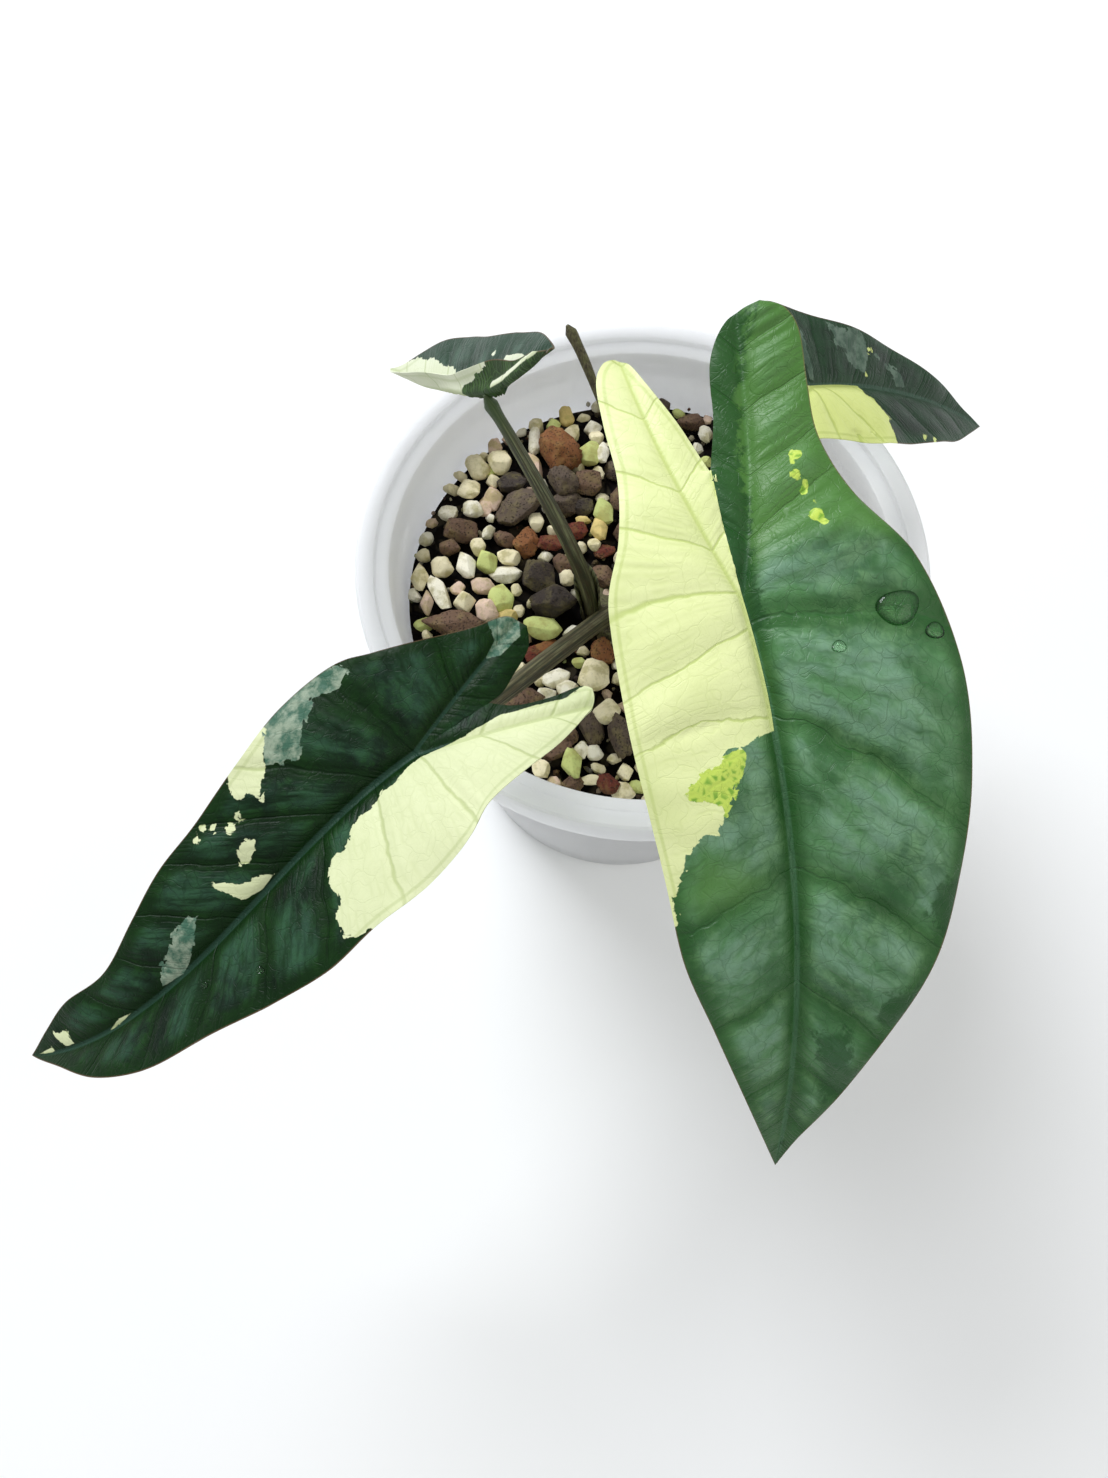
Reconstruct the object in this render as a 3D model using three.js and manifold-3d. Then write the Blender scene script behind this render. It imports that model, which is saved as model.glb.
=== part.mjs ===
// A variegated alocasia with long arrow-shaped leaves, growing in a frosted plastic nursery pot.
// Millimetres, +Z up. The origin is the centre of the pot's flat base.
import * as THREE from 'three';
import { mergeVertices } from 'three/addons/utils/BufferGeometryUtils.js';
import Module from 'manifold-3d';

const wasm = await Module();
wasm.setup();

// The pot.
const POT_HEIGHT = 108;
const RIM_RADIUS = 65;
const RIM_SKIRT = 11;
const RIM_STEP_RADIUS = 60.8;
const LIP_RADIUS = 57.6;
const LIP_DROP = 2.5;
const STEP_DROP = 1.5;
const RIM_DRAFT = 0.7;
const RIM_ROUNDING = 0.8;
const BASE_RADIUS = 45;
const WALL = 1.2;
const BASE_THICKNESS = 1.6;
const DRAIN_HOLES = 8;
const DRAIN_RADIUS = 3.5;
const DRAIN_RING_RADIUS = 33;
const ROUND_SIDES = 48;
const SMALL_ROUND_SIDES = 24;
const DRAIN_SIDES = 12;

// The gap that separate touching pieces keep.
const GAP = 0.3;

// The potting mix, its loose stones and the hole that the stem base grows in.
const MIX_DROP = 16;
const STONES = 130;
const STONE_RADIUS_MIN = 3;
const STONE_RADIUS_MAX = 5.4;
const STONE_SPACING = 0.72;
const STONE_STRETCH = 1.3;
const STONE_ATTEMPTS = 5200;
const STONE_SEED = 41;
const CORM_CENTRE = [-4.5, -6];
const CORM_RADIUS = 9.6;
const CORM_DEPTH = 16;
const CORM_RISE = 1.6;
const CORM_TAPER = [3, 4];

// The blades.
const BLADE_THICKNESS = 0.9;
const KEEL = 1.1;
const STATIONS_PER_RIB = 2;
const BLADE_COLUMNS = 5;

// The leaf stalks.
const STALK_SIDES = 8;
const STALK_STEPS = 16;
const STALK_PLACES = 24;

const DEGREE = Math.PI / 180;
const MIX_TOP = -MIX_DROP;
const CORM_TOP = MIX_TOP + CORM_RISE;

// Plant places are measured from the centre of the rim. A blade is drawn flat: the first number
// is the distance along the midrib, 0 at the stalk and rising towards the tip, and the second
// the distance out from it. Right is the right-hand side on looking from the stalk to the tip.
// Angles are in degrees, and droop, turn, twist and arch are in degrees per millimetre.
const LEAVES = [
  {
    name: 'front',
    joint: [10.5, -42.6, 60],
    heading: -74.5, turn: -0.17, turnRate: 0, lobeTurn: 0.35,
    pitch: -12, droop: 0.42, lobeDroop: 0.4,
    roll: 0, twist: 0, flatten: 0,
    midrib: [110, 90, 74, 60, 46, 32, 18, 5, -6, -14, -22.5],
    right: {
      fold: 16, arch: 1.5, lift: 0,
      margin: [[110, 0], [100, 4], [88, 8.8], [75, 14], [61, 19], [47, 21.2], [32, 22.8], [14, 23.6],
        [-2, 22.2], [-12, 17.8], [-22, 16], [-32, 16.6], [-41, 17], [-44, 13.5]],
      sinus: [[-31, 4], [-38, 8], [-44, 13.5]],
    },
    left: {
      fold: 14, arch: 0.55, lift: 0.012,
      margin: [[110, 0], [100, 3], [88, 9], [75, 15.5], [61, 23], [48, 27], [34, 29.8], [18, 31.8],
        [1, 28.5], [-13, 22], [-25, 18.3], [-35, 17], [-45, 14.2], [-48.5, 9]],
      sinus: [[-32, 1.8], [-42, 3.6], [-48.5, 9]],
    },
    stalk: { base: [0.3, -10.3], rise: [2, -6, 24], reach: [1.5, -7, 22], radii: [2.7, 2.4, 1.7] },
    colour: 0x4f8a5a,
  },
  {
    name: 'left',
    joint: [-45.5, -58.9, 30],
    heading: 214, turn: 0.645, turnRate: -0.01, lobeTurn: 0,
    pitch: -8, droop: 0.25, lobeDroop: 0.3,
    roll: 0, twist: 0, flatten: 0,
    midrib: [101.5, 88, 75, 62, 49, 36, 24, 13, 4, -3, -6],
    right: {
      fold: 22, arch: 0.9, lift: 0,
      margin: [[101.5, 0], [95, 4.6], [86, 8.6], [73, 9.6], [60, 13.4], [48, 16.8], [36, 17.8],
        [24, 19.6], [13, 22], [3, 22.2], [-4, 19.6], [-13, 16.4], [-21, 13.6], [-27, 12.2], [-29.8, 8]],
      sinus: [[-14, 0.5], [-20, 1], [-26, 3], [-29.8, 8]],
    },
    left: {
      fold: 22, arch: 0.9, lift: 0,
      margin: [[101.5, 0], [92, 3], [82, 8], [71, 11.6], [59, 13.8], [47, 17.6], [36, 20.8],
        [25, 21.6], [13, 22.8], [1, 21.2], [-6, 17.8], [-15, 16.3], [-23, 15.2], [-28, 13.6], [-32.6, 9.8]],
      sinus: [[-14, 2.2], [-21, 4.4], [-27, 7], [-32.6, 9.8]],
    },
    stalk: { base: [-6, -8.4], rise: [-4, -7, 11], reach: [-10, -13, 11], radii: [2.5, 2.4, 1.8] },
    colour: 0x2f5240,
  },
  {
    name: 'rear_right',
    joint: [33.4, 19.6, 34],
    heading: 30.8, turn: -0.277, turnRate: 0, lobeTurn: 0,
    pitch: -30, droop: 0.2, lobeDroop: 0.2,
    roll: -20, twist: 0, flatten: 0,
    midrib: [69, 58, 48, 38, 29, 20, 11, 3, -3],
    right: {
      fold: 10, arch: 0.5, lift: 0,
      margin: [[69, 0], [62, 4], [54, 8], [45, 10.2], [37, 11.8], [28, 13.1], [19, 13.8], [11, 14],
        [3, 13], [-7, 12.2], [-17, 12], [-23, 10]],
      sinus: [[-10, 3], [-17, 6], [-23, 10]],
    },
    left: {
      fold: 10, arch: 0.5, lift: 0,
      margin: [[69, 0], [64.5, 0.8], [59, 1.9], [51, 4.4], [42, 6.3], [33, 8.4], [24, 10.4],
        [15, 12.4], [6, 14.2], [-3, 16.2], [-10, 17.2], [-15, 14.5]],
      sinus: [[-6, 5.5], [-10, 10], [-15, 14.5]],
    },
    stalk: { base: [0.6, -3.4], rise: [6, 4, 18], reach: [9, 5, 12], radii: [2.4, 2.1, 1.4] },
    colour: 0x35564a,
  },
  {
    name: 'rear_left',
    joint: [-32.1, 4.7, 50],
    heading: 133, turn: 0, turnRate: 0, lobeTurn: 0,
    pitch: -36, droop: 0, lobeDroop: -0.2,
    roll: -33, twist: 1.5, flatten: 0.4,
    midrib: [42, 35, 28, 20, 12, 4, -3, -7],
    right: {
      fold: 46, arch: 1.4, lift: 0,
      margin: [[42, 0], [38, 2.8], [32, 6.2], [25, 9], [17, 11], [9, 12.4], [1, 12.8], [-3, 11.6],
        [-6, 9.4], [-9, 6.6]],
      sinus: [[-7.8, 3], [-9, 6.6]],
    },
    left: {
      fold: 54, arch: 0.8, lift: 0,
      margin: [[42, 0], [38, 3], [31, 5.8], [23, 7.4], [14, 7.8], [5, 7.8], [-4, 8], [-11, 8.8],
        [-18, 9.4], [-24, 8]],
      sinus: [[-16, 3.6], [-24, 8]],
    },
    stalk: { base: [-11.3, -6.3], rise: [-1, -1, 20], reach: [-7, 3, 16], radii: [2.5, 2.2, 1.4] },
    colour: 0x44665a,
  },
];

// The dry stalk of a lost leaf, with a swollen cut end.
const DRY_STALK = {
  base: [-3.5, -0.5],
  end: [-16.8, 28, 40],
  rise: [2, 8, 18],
  reach: [-8, 6, 14],
  radii: [1.8, 1.1, 0.9, 1.2],
};

function material(colour, roughness) {
  return new THREE.MeshStandardMaterial({ color: colour, roughness, metalness: 0 });
}

function part(name, geometry, finish) {
  const mesh = new THREE.Mesh(geometry, finish);
  mesh.name = name;
  return mesh;
}

// Numbers between 0 and 1 that are the same on every run.
function randomSource(seed) {
  let state = seed;
  return () => {
    state = (state * 1664525 + 1013904223) % 4294967296;
    return state / 4294967296;
  };
}

// Solids for joining and cutting.
function toSolid(geometry) {
  const bare = geometry.clone();
  bare.deleteAttribute('normal');
  bare.deleteAttribute('uv');
  const merged = mergeVertices(bare, 1e-4);
  return new wasm.Manifold(new wasm.Mesh({
    numProp: 3,
    vertProperties: new Float32Array(merged.attributes.position.array),
    triVerts: new Uint32Array(merged.index.array),
  }));
}

function fromSolid(solid) {
  const mesh = solid.getMesh();
  const geometry = new THREE.BufferGeometry();
  geometry.setAttribute('position', new THREE.BufferAttribute(new Float32Array(mesh.vertProperties), 3));
  geometry.setIndex(new THREE.BufferAttribute(new Uint32Array(mesh.triVerts), 1));
  geometry.computeVertexNormals();
  return geometry;
}

// A profile of [radius, height] pairs turned round the Z axis. It runs upwards on the outside.
function turned(profile, sides = ROUND_SIDES) {
  const points = profile.map(([radius, height]) => new THREE.Vector2(radius, height));
  return new THREE.LatheGeometry(points, sides).rotateX(Math.PI / 2);
}

function uprightCylinder(radius, bottom, top, x, y, sides) {
  const cylinder = new THREE.CylinderGeometry(radius, radius, top - bottom, sides);
  return cylinder.rotateX(Math.PI / 2).translate(x, y, (top + bottom) / 2);
}

// The pot's wall leans out evenly from the base to the lip.
function innerRadius(height) {
  const lipHeight = POT_HEIGHT - LIP_DROP;
  const baseInside = BASE_RADIUS - WALL;
  return baseInside + (LIP_RADIUS - baseInside) * (height / lipHeight);
}

// The wall rises to a rim that turns down again outside as a skirt. Inside, the rim steps down
// to the lip.
function potGeometry() {
  const lip = POT_HEIGHT - LIP_DROP;
  const skirt = POT_HEIGHT - RIM_SKIRT;
  const wallTop = skirt + RIM_SKIRT / 3;
  const profile = [
    [0, 0],
    [BASE_RADIUS - 1, 0],
    [BASE_RADIUS, 1],
    [innerRadius(wallTop) + WALL, wallTop],
    [RIM_RADIUS - 2 * WALL, POT_HEIGHT - 2 * WALL],
    [RIM_RADIUS - RIM_DRAFT - WALL, skirt],
    [RIM_RADIUS - RIM_DRAFT, skirt],
    [RIM_RADIUS, POT_HEIGHT - RIM_ROUNDING],
    [RIM_RADIUS - RIM_ROUNDING, POT_HEIGHT],
    [RIM_STEP_RADIUS + RIM_ROUNDING / 2, POT_HEIGHT - RIM_ROUNDING / 2],
    [RIM_STEP_RADIUS, POT_HEIGHT - STEP_DROP],
    [LIP_RADIUS + RIM_ROUNDING / 2, lip + RIM_ROUNDING / 4],
    [LIP_RADIUS, lip - RIM_ROUNDING / 4],
    [innerRadius(BASE_THICKNESS), BASE_THICKNESS],
    [0, BASE_THICKNESS],
  ];
  let solid = toSolid(turned(profile));
  for (let hole = 0; hole < DRAIN_HOLES; hole += 1) {
    const angle = (hole + 0.5) * 2 * Math.PI / DRAIN_HOLES;
    const x = DRAIN_RING_RADIUS * Math.cos(angle);
    const y = DRAIN_RING_RADIUS * Math.sin(angle);
    const drill = uprightCylinder(DRAIN_RADIUS, -1, BASE_THICKNESS + 1, x, y, DRAIN_SIDES);
    solid = solid.subtract(toSolid(drill));
  }
  return fromSolid(solid);
}

// A stone is a lump with flat facets, stretched and turned at random.
function stoneGeometry(radius, random) {
  const stone = new THREE.IcosahedronGeometry(radius, 0);
  stone.scale(0.85 + 0.4 * random(), 0.75 + 0.3 * random(), 0.6 + 0.25 * random());
  stone.rotateX(0.5 * random());
  stone.rotateY(0.5 * random());
  stone.rotateZ(2 * Math.PI * random());
  return stone;
}

// The mix fills the pot. Its stones are sunk into its top and keep clear of the stalks.
function mixGeometry(stalks) {
  const floor = BASE_THICKNESS + GAP;
  const top = POT_HEIGHT + MIX_TOP;
  const rim = innerRadius(top) - GAP;
  let solid = toSolid(turned([[0, floor], [innerRadius(floor) - GAP, floor], [rim, top], [0, top]]));
  const random = randomSource(STONE_SEED);
  const placed = [];
  for (let attempt = 0; attempt < STONE_ATTEMPTS && placed.length < STONES; attempt += 1) {
    const radius = STONE_RADIUS_MIN + (STONE_RADIUS_MAX - STONE_RADIUS_MIN) * random() ** 2;
    const reach = (rim - STONE_STRETCH * radius - 1) * Math.sqrt(random());
    const angle = 2 * Math.PI * random();
    const centre = new THREE.Vector3(reach * Math.cos(angle), reach * Math.sin(angle), top + 0.1 * radius);
    const crowded = placed.some((other) =>
      other.centre.distanceTo(centre) < STONE_SPACING * (other.radius + radius));
    const blocked = stalks.some((stalk) =>
      stalk.point.distanceTo(centre) < STONE_STRETCH * radius + stalk.radius + 2 * GAP);
    if (!crowded && !blocked) {
      placed.push({ centre, radius });
      const stone = stoneGeometry(radius, random).translate(centre.x, centre.y, centre.z);
      solid = solid.add(toSolid(stone));
    }
  }
  const [x, y] = CORM_CENTRE;
  const holeFloor = top - CORM_DEPTH - GAP;
  const hole = uprightCylinder(CORM_RADIUS + GAP, holeFloor, POT_HEIGHT, x, y, SMALL_ROUND_SIDES);
  return fromSolid(solid.subtract(toSolid(hole)));
}

// The short stem base that carries every leaf stalk.
function cormGeometry() {
  const bottom = MIX_TOP - CORM_DEPTH;
  const [taperIn, taperUp] = CORM_TAPER;
  const profile = [
    [0, bottom],
    [CORM_RADIUS - taperIn, bottom],
    [CORM_RADIUS, bottom + taperUp],
    [CORM_RADIUS, CORM_TOP],
    [0, CORM_TOP],
  ];
  return turned(profile, SMALL_ROUND_SIDES).translate(CORM_CENTRE[0], CORM_CENTRE[1], 0);
}

// A smooth curve through evenly counted stops, read at a fractional stop number.
function between(stops, position) {
  const last = stops.length - 1;
  const index = Math.min(Math.floor(position), last - 1);
  const f = position - index;
  const [a, b, c, d] = [index - 1, index, index + 1, index + 2]
    .map((stop) => stops[Math.max(0, Math.min(last, stop))]);
  return b.map((value, axis) => {
    const enter = (c[axis] - a[axis]) / 2;
    const leave = (d[axis] - value) / 2;
    return (2 * value - 2 * c[axis] + enter + leave) * f ** 3
      + (3 * c[axis] - 3 * value - 2 * enter - leave) * f ** 2 + enter * f + value;
  });
}

// The direction of the midrib at a distance along it.
function midribDirection(leaf, along) {
  const behind = along < 0;
  const pitch = leaf.pitch - (behind ? leaf.lobeDroop : leaf.droop) * along;
  const turn = behind ? leaf.lobeTurn : leaf.turn + leaf.turnRate * along;
  const heading = leaf.heading + turn * along;
  const level = Math.cos(pitch * DEGREE);
  return new THREE.Vector3(
    level * Math.cos(heading * DEGREE), level * Math.sin(heading * DEGREE), Math.sin(pitch * DEGREE));
}

// The midrib's point, with the blade's sideways and upward directions there.
function midribFrame(leaf, along) {
  const steps = 24;
  const point = new THREE.Vector3(...leaf.joint);
  for (let step = 0; step < steps; step += 1) {
    point.addScaledVector(midribDirection(leaf, along * (step + 0.5) / steps), along / steps);
  }
  const forward = midribDirection(leaf, along);
  const level = new THREE.Vector3(forward.y, -forward.x, 0).normalize();
  const above = new THREE.Vector3().crossVectors(level, forward);
  const roll = (leaf.roll + leaf.twist * along) * DEGREE;
  const right = level.clone().multiplyScalar(Math.cos(roll)).addScaledVector(above, Math.sin(roll));
  const up = above.multiplyScalar(Math.cos(roll)).addScaledVector(level, -Math.sin(roll));
  return { point, right, up };
}

// The upper and lower surface of a blade at a flat place. Each half leaves the midrib at its fold
// angle and arches over towards the margin, and the midrib stands out below as a keel.
function bladePlace(leaf, side, along, out) {
  const half = side > 0 ? leaf.right : leaf.left;
  const { point, right, up } = midribFrame(leaf, along);
  const fold = (half.fold - leaf.flatten * Math.max(0, along)) * DEGREE;
  const arch = half.arch * DEGREE;
  const angle = fold - arch * out;
  const sinusEnd = leaf.midrib[leaf.midrib.length - 1];
  const behindSinus = Math.max(0, sinusEnd - along);
  const sideways = side * (Math.sin(fold) - Math.sin(angle)) / arch;
  const rise = (Math.cos(angle) - Math.cos(fold)) / arch + half.lift * behindSinus ** 2;
  const top = point.addScaledVector(right, sideways).addScaledVector(up, rise);
  const onMidrib = out < GAP;
  const tipward = Math.max(0, along / leaf.midrib[0]);
  const depth = onMidrib ? BLADE_THICKNESS + KEEL * (1 - tipward) ** 0.7 : BLADE_THICKNESS;
  const tilt = onMidrib ? 0 : angle;
  const normal = up.clone().multiplyScalar(Math.cos(tilt)).addScaledVector(right, -side * Math.sin(tilt));
  return { top, bottom: top.clone().addScaledVector(normal, -depth) };
}

// One half of a blade as rows of places, from the tip to the end of its lobe.
function bladeRows(leaf, side) {
  const half = side > 0 ? leaf.right : leaf.left;
  const sinusRib = leaf.midrib.length - 1;
  const midribStops = leaf.midrib.map((along) => [along, 0]);
  const sinusStops = [midribStops[sinusRib], ...half.sinus];
  const rows = [];
  for (let station = 0; station <= (half.margin.length - 1) * STATIONS_PER_RIB; station += 1) {
    const rib = station / STATIONS_PER_RIB;
    const inner = rib <= sinusRib ? between(midribStops, rib) : between(sinusStops, rib - sinusRib);
    const outer = between(half.margin, rib);
    const row = [];
    for (let column = 0; column <= BLADE_COLUMNS; column += 1) {
      const f = column / BLADE_COLUMNS;
      const along = inner[0] + (outer[0] - inner[0]) * f;
      const out = inner[1] + (outer[1] - inner[1]) * f;
      row.push(bladePlace(leaf, side, along, Math.max(0, out)));
    }
    rows.push(row);
  }
  return rows;
}

// A thin closed sheet: upper triangles, the same ones reversed below, and a strip round the edge.
function bladeGeometry(leaf) {
  const tops = [];
  const bottoms = [];
  const known = new Map();
  const numberOf = ({ top, bottom }) => {
    const key = top.toArray().map((value) => value.toFixed(3)).join(' ');
    if (!known.has(key)) {
      known.set(key, tops.length);
      tops.push(top);
      bottoms.push(bottom);
    }
    return known.get(key);
  };
  const triangles = [];
  for (const side of [1, -1]) {
    const rows = bladeRows(leaf, side).map((row) => row.map(numberOf));
    for (let row = 0; row + 1 < rows.length; row += 1) {
      for (let column = 0; column < BLADE_COLUMNS; column += 1) {
        const [a, b] = [rows[row][column], rows[row][column + 1]];
        const [c, d] = [rows[row + 1][column], rows[row + 1][column + 1]];
        for (const [p, q, r] of [[a, b, d], [a, d, c]]) {
          if (p !== q && q !== r && p !== r) {
            triangles.push(side > 0 ? [p, r, q] : [p, q, r]);
          }
        }
      }
    }
  }
  const edges = new Set();
  for (const [p, q, r] of triangles) {
    for (const [from, to] of [[p, q], [q, r], [r, p]]) {
      edges.add(`${from} ${to}`);
    }
  }
  const below = tops.length;
  const index = [];
  for (const [p, q, r] of triangles) {
    index.push(p, q, r, below + p, below + r, below + q);
  }
  for (const edge of edges) {
    const [from, to] = edge.split(' ').map(Number);
    if (!edges.has(`${to} ${from}`)) {
      index.push(from, below + from, below + to, from, below + to, to);
    }
  }
  const geometry = new THREE.BufferGeometry().setFromPoints([...tops, ...bottoms]);
  geometry.setIndex(index);
  geometry.computeVertexNormals();
  return geometry;
}

// A stalk leaves its base along rise and comes to its end along reach. The base is cut square and
// each end keeps the gap at its nearest corner.
function stalkCurve(base, baseRadius, rise, end, reach) {
  const start = new THREE.Vector3(...base, CORM_TOP + GAP);
  const leave = new THREE.Vector3(...rise);
  const arrive = new THREE.Vector3(...reach);
  start.z += baseRadius * Math.sin(leave.angleTo(new THREE.Vector3(0, 0, 1)));
  return new THREE.CubicBezierCurve3(start, start.clone().add(leave), end.clone().sub(arrive), end);
}

function leafStalkCurve(leaf) {
  const { base, rise, reach, radii } = leaf.stalk;
  const { point, up } = midribFrame(leaf, 0);
  const tilt = up.angleTo(new THREE.Vector3(...reach));
  const depth = BLADE_THICKNESS + KEEL + GAP + radii[radii.length - 1] * Math.sin(tilt);
  return stalkCurve(base, radii[0], rise, point.addScaledVector(up, -depth), reach);
}

function dryStalkCurve() {
  const { base, rise, end, reach, radii } = DRY_STALK;
  return stalkCurve(base, radii[0], rise, new THREE.Vector3(...end), reach);
}

// A round stalk along a curve, as thick at each stretch as its list of radii says.
function stalkRadius(radii, f) {
  return between(radii.map((radius) => [radius]), f * (radii.length - 1))[0];
}

function stalkGeometry(curve, radii) {
  const frames = curve.computeFrenetFrames(STALK_STEPS);
  const points = [];
  for (let step = 0; step <= STALK_STEPS; step += 1) {
    const f = step / STALK_STEPS;
    const centre = curve.getPointAt(f);
    for (let corner = 0; corner < STALK_SIDES; corner += 1) {
      const angle = 2 * Math.PI * corner / STALK_SIDES;
      points.push(centre.clone()
        .addScaledVector(frames.normals[step], stalkRadius(radii, f) * Math.cos(angle))
        .addScaledVector(frames.binormals[step], stalkRadius(radii, f) * Math.sin(angle)));
    }
  }
  const index = [];
  for (let step = 0; step < STALK_STEPS; step += 1) {
    for (let corner = 0; corner < STALK_SIDES; corner += 1) {
      const a = step * STALK_SIDES + corner;
      const b = step * STALK_SIDES + (corner + 1) % STALK_SIDES;
      index.push(a, b, b + STALK_SIDES, a, b + STALK_SIDES, a + STALK_SIDES);
    }
  }
  const end = STALK_STEPS * STALK_SIDES;
  for (let corner = 1; corner + 1 < STALK_SIDES; corner += 1) {
    index.push(0, corner + 1, corner, end, end + corner, end + corner + 1);
  }
  const geometry = new THREE.BufferGeometry().setFromPoints(points);
  geometry.setIndex(index);
  geometry.computeVertexNormals();
  return geometry;
}

// Places along the stalks, in the pot's own frame, that the stones keep clear of.
function stalkPlaces(curves) {
  return curves.flatMap(({ curve, radii }) => curve.getSpacedPoints(STALK_PLACES).map((point, place) => ({
    point: point.setZ(point.z + POT_HEIGHT),
    radius: stalkRadius(radii, place / STALK_PLACES),
  })));
}

const plant = new THREE.Group();
plant.position.z = POT_HEIGHT;
plant.add(part('corm', cormGeometry(), material(0x6b5a3a, 0.8)));

const stalks = LEAVES.map((leaf) => (
  { name: leaf.name, curve: leafStalkCurve(leaf), radii: leaf.stalk.radii }));
for (const { name, curve, radii } of stalks) {
  plant.add(part(`petiole_${name}`, stalkGeometry(curve, radii), material(0x5a6344, 0.6)));
}
for (const leaf of LEAVES) {
  plant.add(part(`leaf_${leaf.name}`, bladeGeometry(leaf), material(leaf.colour, 0.45)));
}
const dryStalk = { curve: dryStalkCurve(), radii: DRY_STALK.radii };
plant.add(part('dry_petiole', stalkGeometry(dryStalk.curve, dryStalk.radii), material(0x7a6a45, 0.9)));

const group = new THREE.Group();
group.add(part('pot', potGeometry(), material(0xdfe6ea, 0.5)));
group.add(part('potting_mix', mixGeometry(stalkPlaces([...stalks, dryStalk])), material(0x4a4038, 0.95)));
group.add(plant);

export default group;
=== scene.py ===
"""A potted variegated alocasia: the fine surfaces and finishes over its fixed frame.

Lengths in the classes are in millimetres. Plant places are measured from the centre of the pot's rim.
"""

import logging
import math
from collections.abc import Callable, Sequence
from dataclasses import dataclass, field
from enum import Enum

import bpy
import numpy as np
from mathutils import Euler, Matrix, Vector, noise


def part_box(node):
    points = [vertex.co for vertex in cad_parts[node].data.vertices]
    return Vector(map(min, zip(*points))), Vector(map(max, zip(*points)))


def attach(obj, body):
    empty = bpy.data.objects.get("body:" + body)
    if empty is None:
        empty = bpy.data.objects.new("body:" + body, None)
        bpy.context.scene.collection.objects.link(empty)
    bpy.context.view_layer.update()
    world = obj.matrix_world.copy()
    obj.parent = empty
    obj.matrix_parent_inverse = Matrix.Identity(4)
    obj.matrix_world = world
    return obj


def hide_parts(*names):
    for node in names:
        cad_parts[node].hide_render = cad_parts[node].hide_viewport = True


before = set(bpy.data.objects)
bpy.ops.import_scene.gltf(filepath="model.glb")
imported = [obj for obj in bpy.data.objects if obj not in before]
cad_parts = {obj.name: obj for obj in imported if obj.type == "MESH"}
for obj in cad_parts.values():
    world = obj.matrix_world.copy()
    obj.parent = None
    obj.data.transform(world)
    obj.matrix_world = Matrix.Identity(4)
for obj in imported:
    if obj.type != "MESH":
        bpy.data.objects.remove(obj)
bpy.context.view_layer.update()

Array = np.ndarray
Socket = bpy.types.NodeSocket
Colour = tuple[float, float, float, float]
Places = Sequence[Sequence[float]]

log = logging.getLogger("alocasia")

MM = 0.001
POT_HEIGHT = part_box("pot")[1].z / MM
RIM_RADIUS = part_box("pot")[1].x / MM
BASE_FLOOR = 1.6
MIX_DROP = 16.0
CORM_RISE = 1.6
STEM_GAP = 0.3
STONE_GROWTH = 1.24
OUTSIDE = -6.0
IMAGE_WIDTH = 1108
IMAGE_HEIGHT = 1478


class Side(Enum):
    """The halves of a blade, on looking from the stalk to the tip."""

    RIGHT = 1
    LEFT = -1


class Patch(Enum):
    """The kinds of marking on a blade. Each one is a surface attribute of that name."""

    CREAM = "cream"
    SILVER = "silver"
    LIME = "lime"
    FRESH = "fresh"
    DEEP = "deep"


class Stone(Enum):
    """The kinds of stone in the mix, with the colour of each."""

    WHITE = "f3edd8"
    PALE = "ece1bc"
    PINK = "dfc3ae"
    YELLOW = "dac27c"
    GREENISH = "c6cf80"
    LAVA_BROWN = "644b39"
    LAVA_GREY = "54463a"
    LAVA_DARK = "352b24"
    LAVA_ORANGE = "7c4c26"
    LAVA_RED = "622413"

    @property
    def is_lava(self) -> bool:
        """Whether the stone is lava and not pumice."""
        return self.name.startswith("LAVA")


def paint(code: str) -> Colour:
    """Turns a six-digit colour code into linear light.

    Args:
        code: Red, green and blue as hexadecimal digits.

    Returns:
        The colour with full opacity.
    """
    parts = [int(code[i : i + 2], 16) / 255 for i in (0, 2, 4)]
    linear = [c / 12.92 if c <= 0.04045 else ((c + 0.055) / 1.055) ** 2.4 for c in parts]
    return (linear[0], linear[1], linear[2], 1.0)


# Modelling helpers.


def deselect_all() -> None:
    """Leaves nothing selected, in object mode."""
    if bpy.context.mode != "OBJECT":
        bpy.ops.object.mode_set(mode="OBJECT")
    bpy.ops.object.select_all(action="DESELECT")


def select_only(pieces: Sequence[bpy.types.Object]) -> None:
    """Selects these pieces alone and makes the first one active."""
    deselect_all()
    for piece in pieces:
        piece.select_set(True)
    bpy.context.view_layer.objects.active = pieces[0]


def edit_mesh(piece: bpy.types.Object, *steps: Callable[[], object]) -> None:
    """Runs edit-mode operators on the whole of a piece.

    Args:
        piece: The mesh object.
        steps: Calls that are made in edit mode with everything selected.
    """
    select_only([piece])
    bpy.ops.object.mode_set(mode="EDIT")
    bpy.ops.mesh.select_all(action="SELECT")
    for step in steps:
        step()
    bpy.ops.object.mode_set(mode="OBJECT")


def apply_modifier(piece: bpy.types.Object, kind: str, **settings: object) -> None:
    """Adds a modifier, sets it up and applies it."""
    select_only([piece])
    modifier = piece.modifiers.new(kind.lower(), kind)
    for name, value in settings.items():
        setattr(modifier, name, value)
    bpy.ops.object.modifier_apply(modifier=modifier.name)


def join(pieces: Sequence[bpy.types.Object], name: str) -> bpy.types.Object:
    """Joins pieces into the first one and names it."""
    select_only(pieces)
    if len(pieces) > 1:
        bpy.ops.object.join()
    joined = bpy.context.view_layer.objects.active
    joined.name = name
    joined.data.name = name
    return joined


def vertex_places(piece: bpy.types.Object) -> Array:
    """Reads a mesh's vertices, in metres."""
    flat = np.zeros(len(piece.data.vertices) * 3)
    piece.data.vertices.foreach_get("co", flat)
    return flat.reshape(-1, 3)


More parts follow.
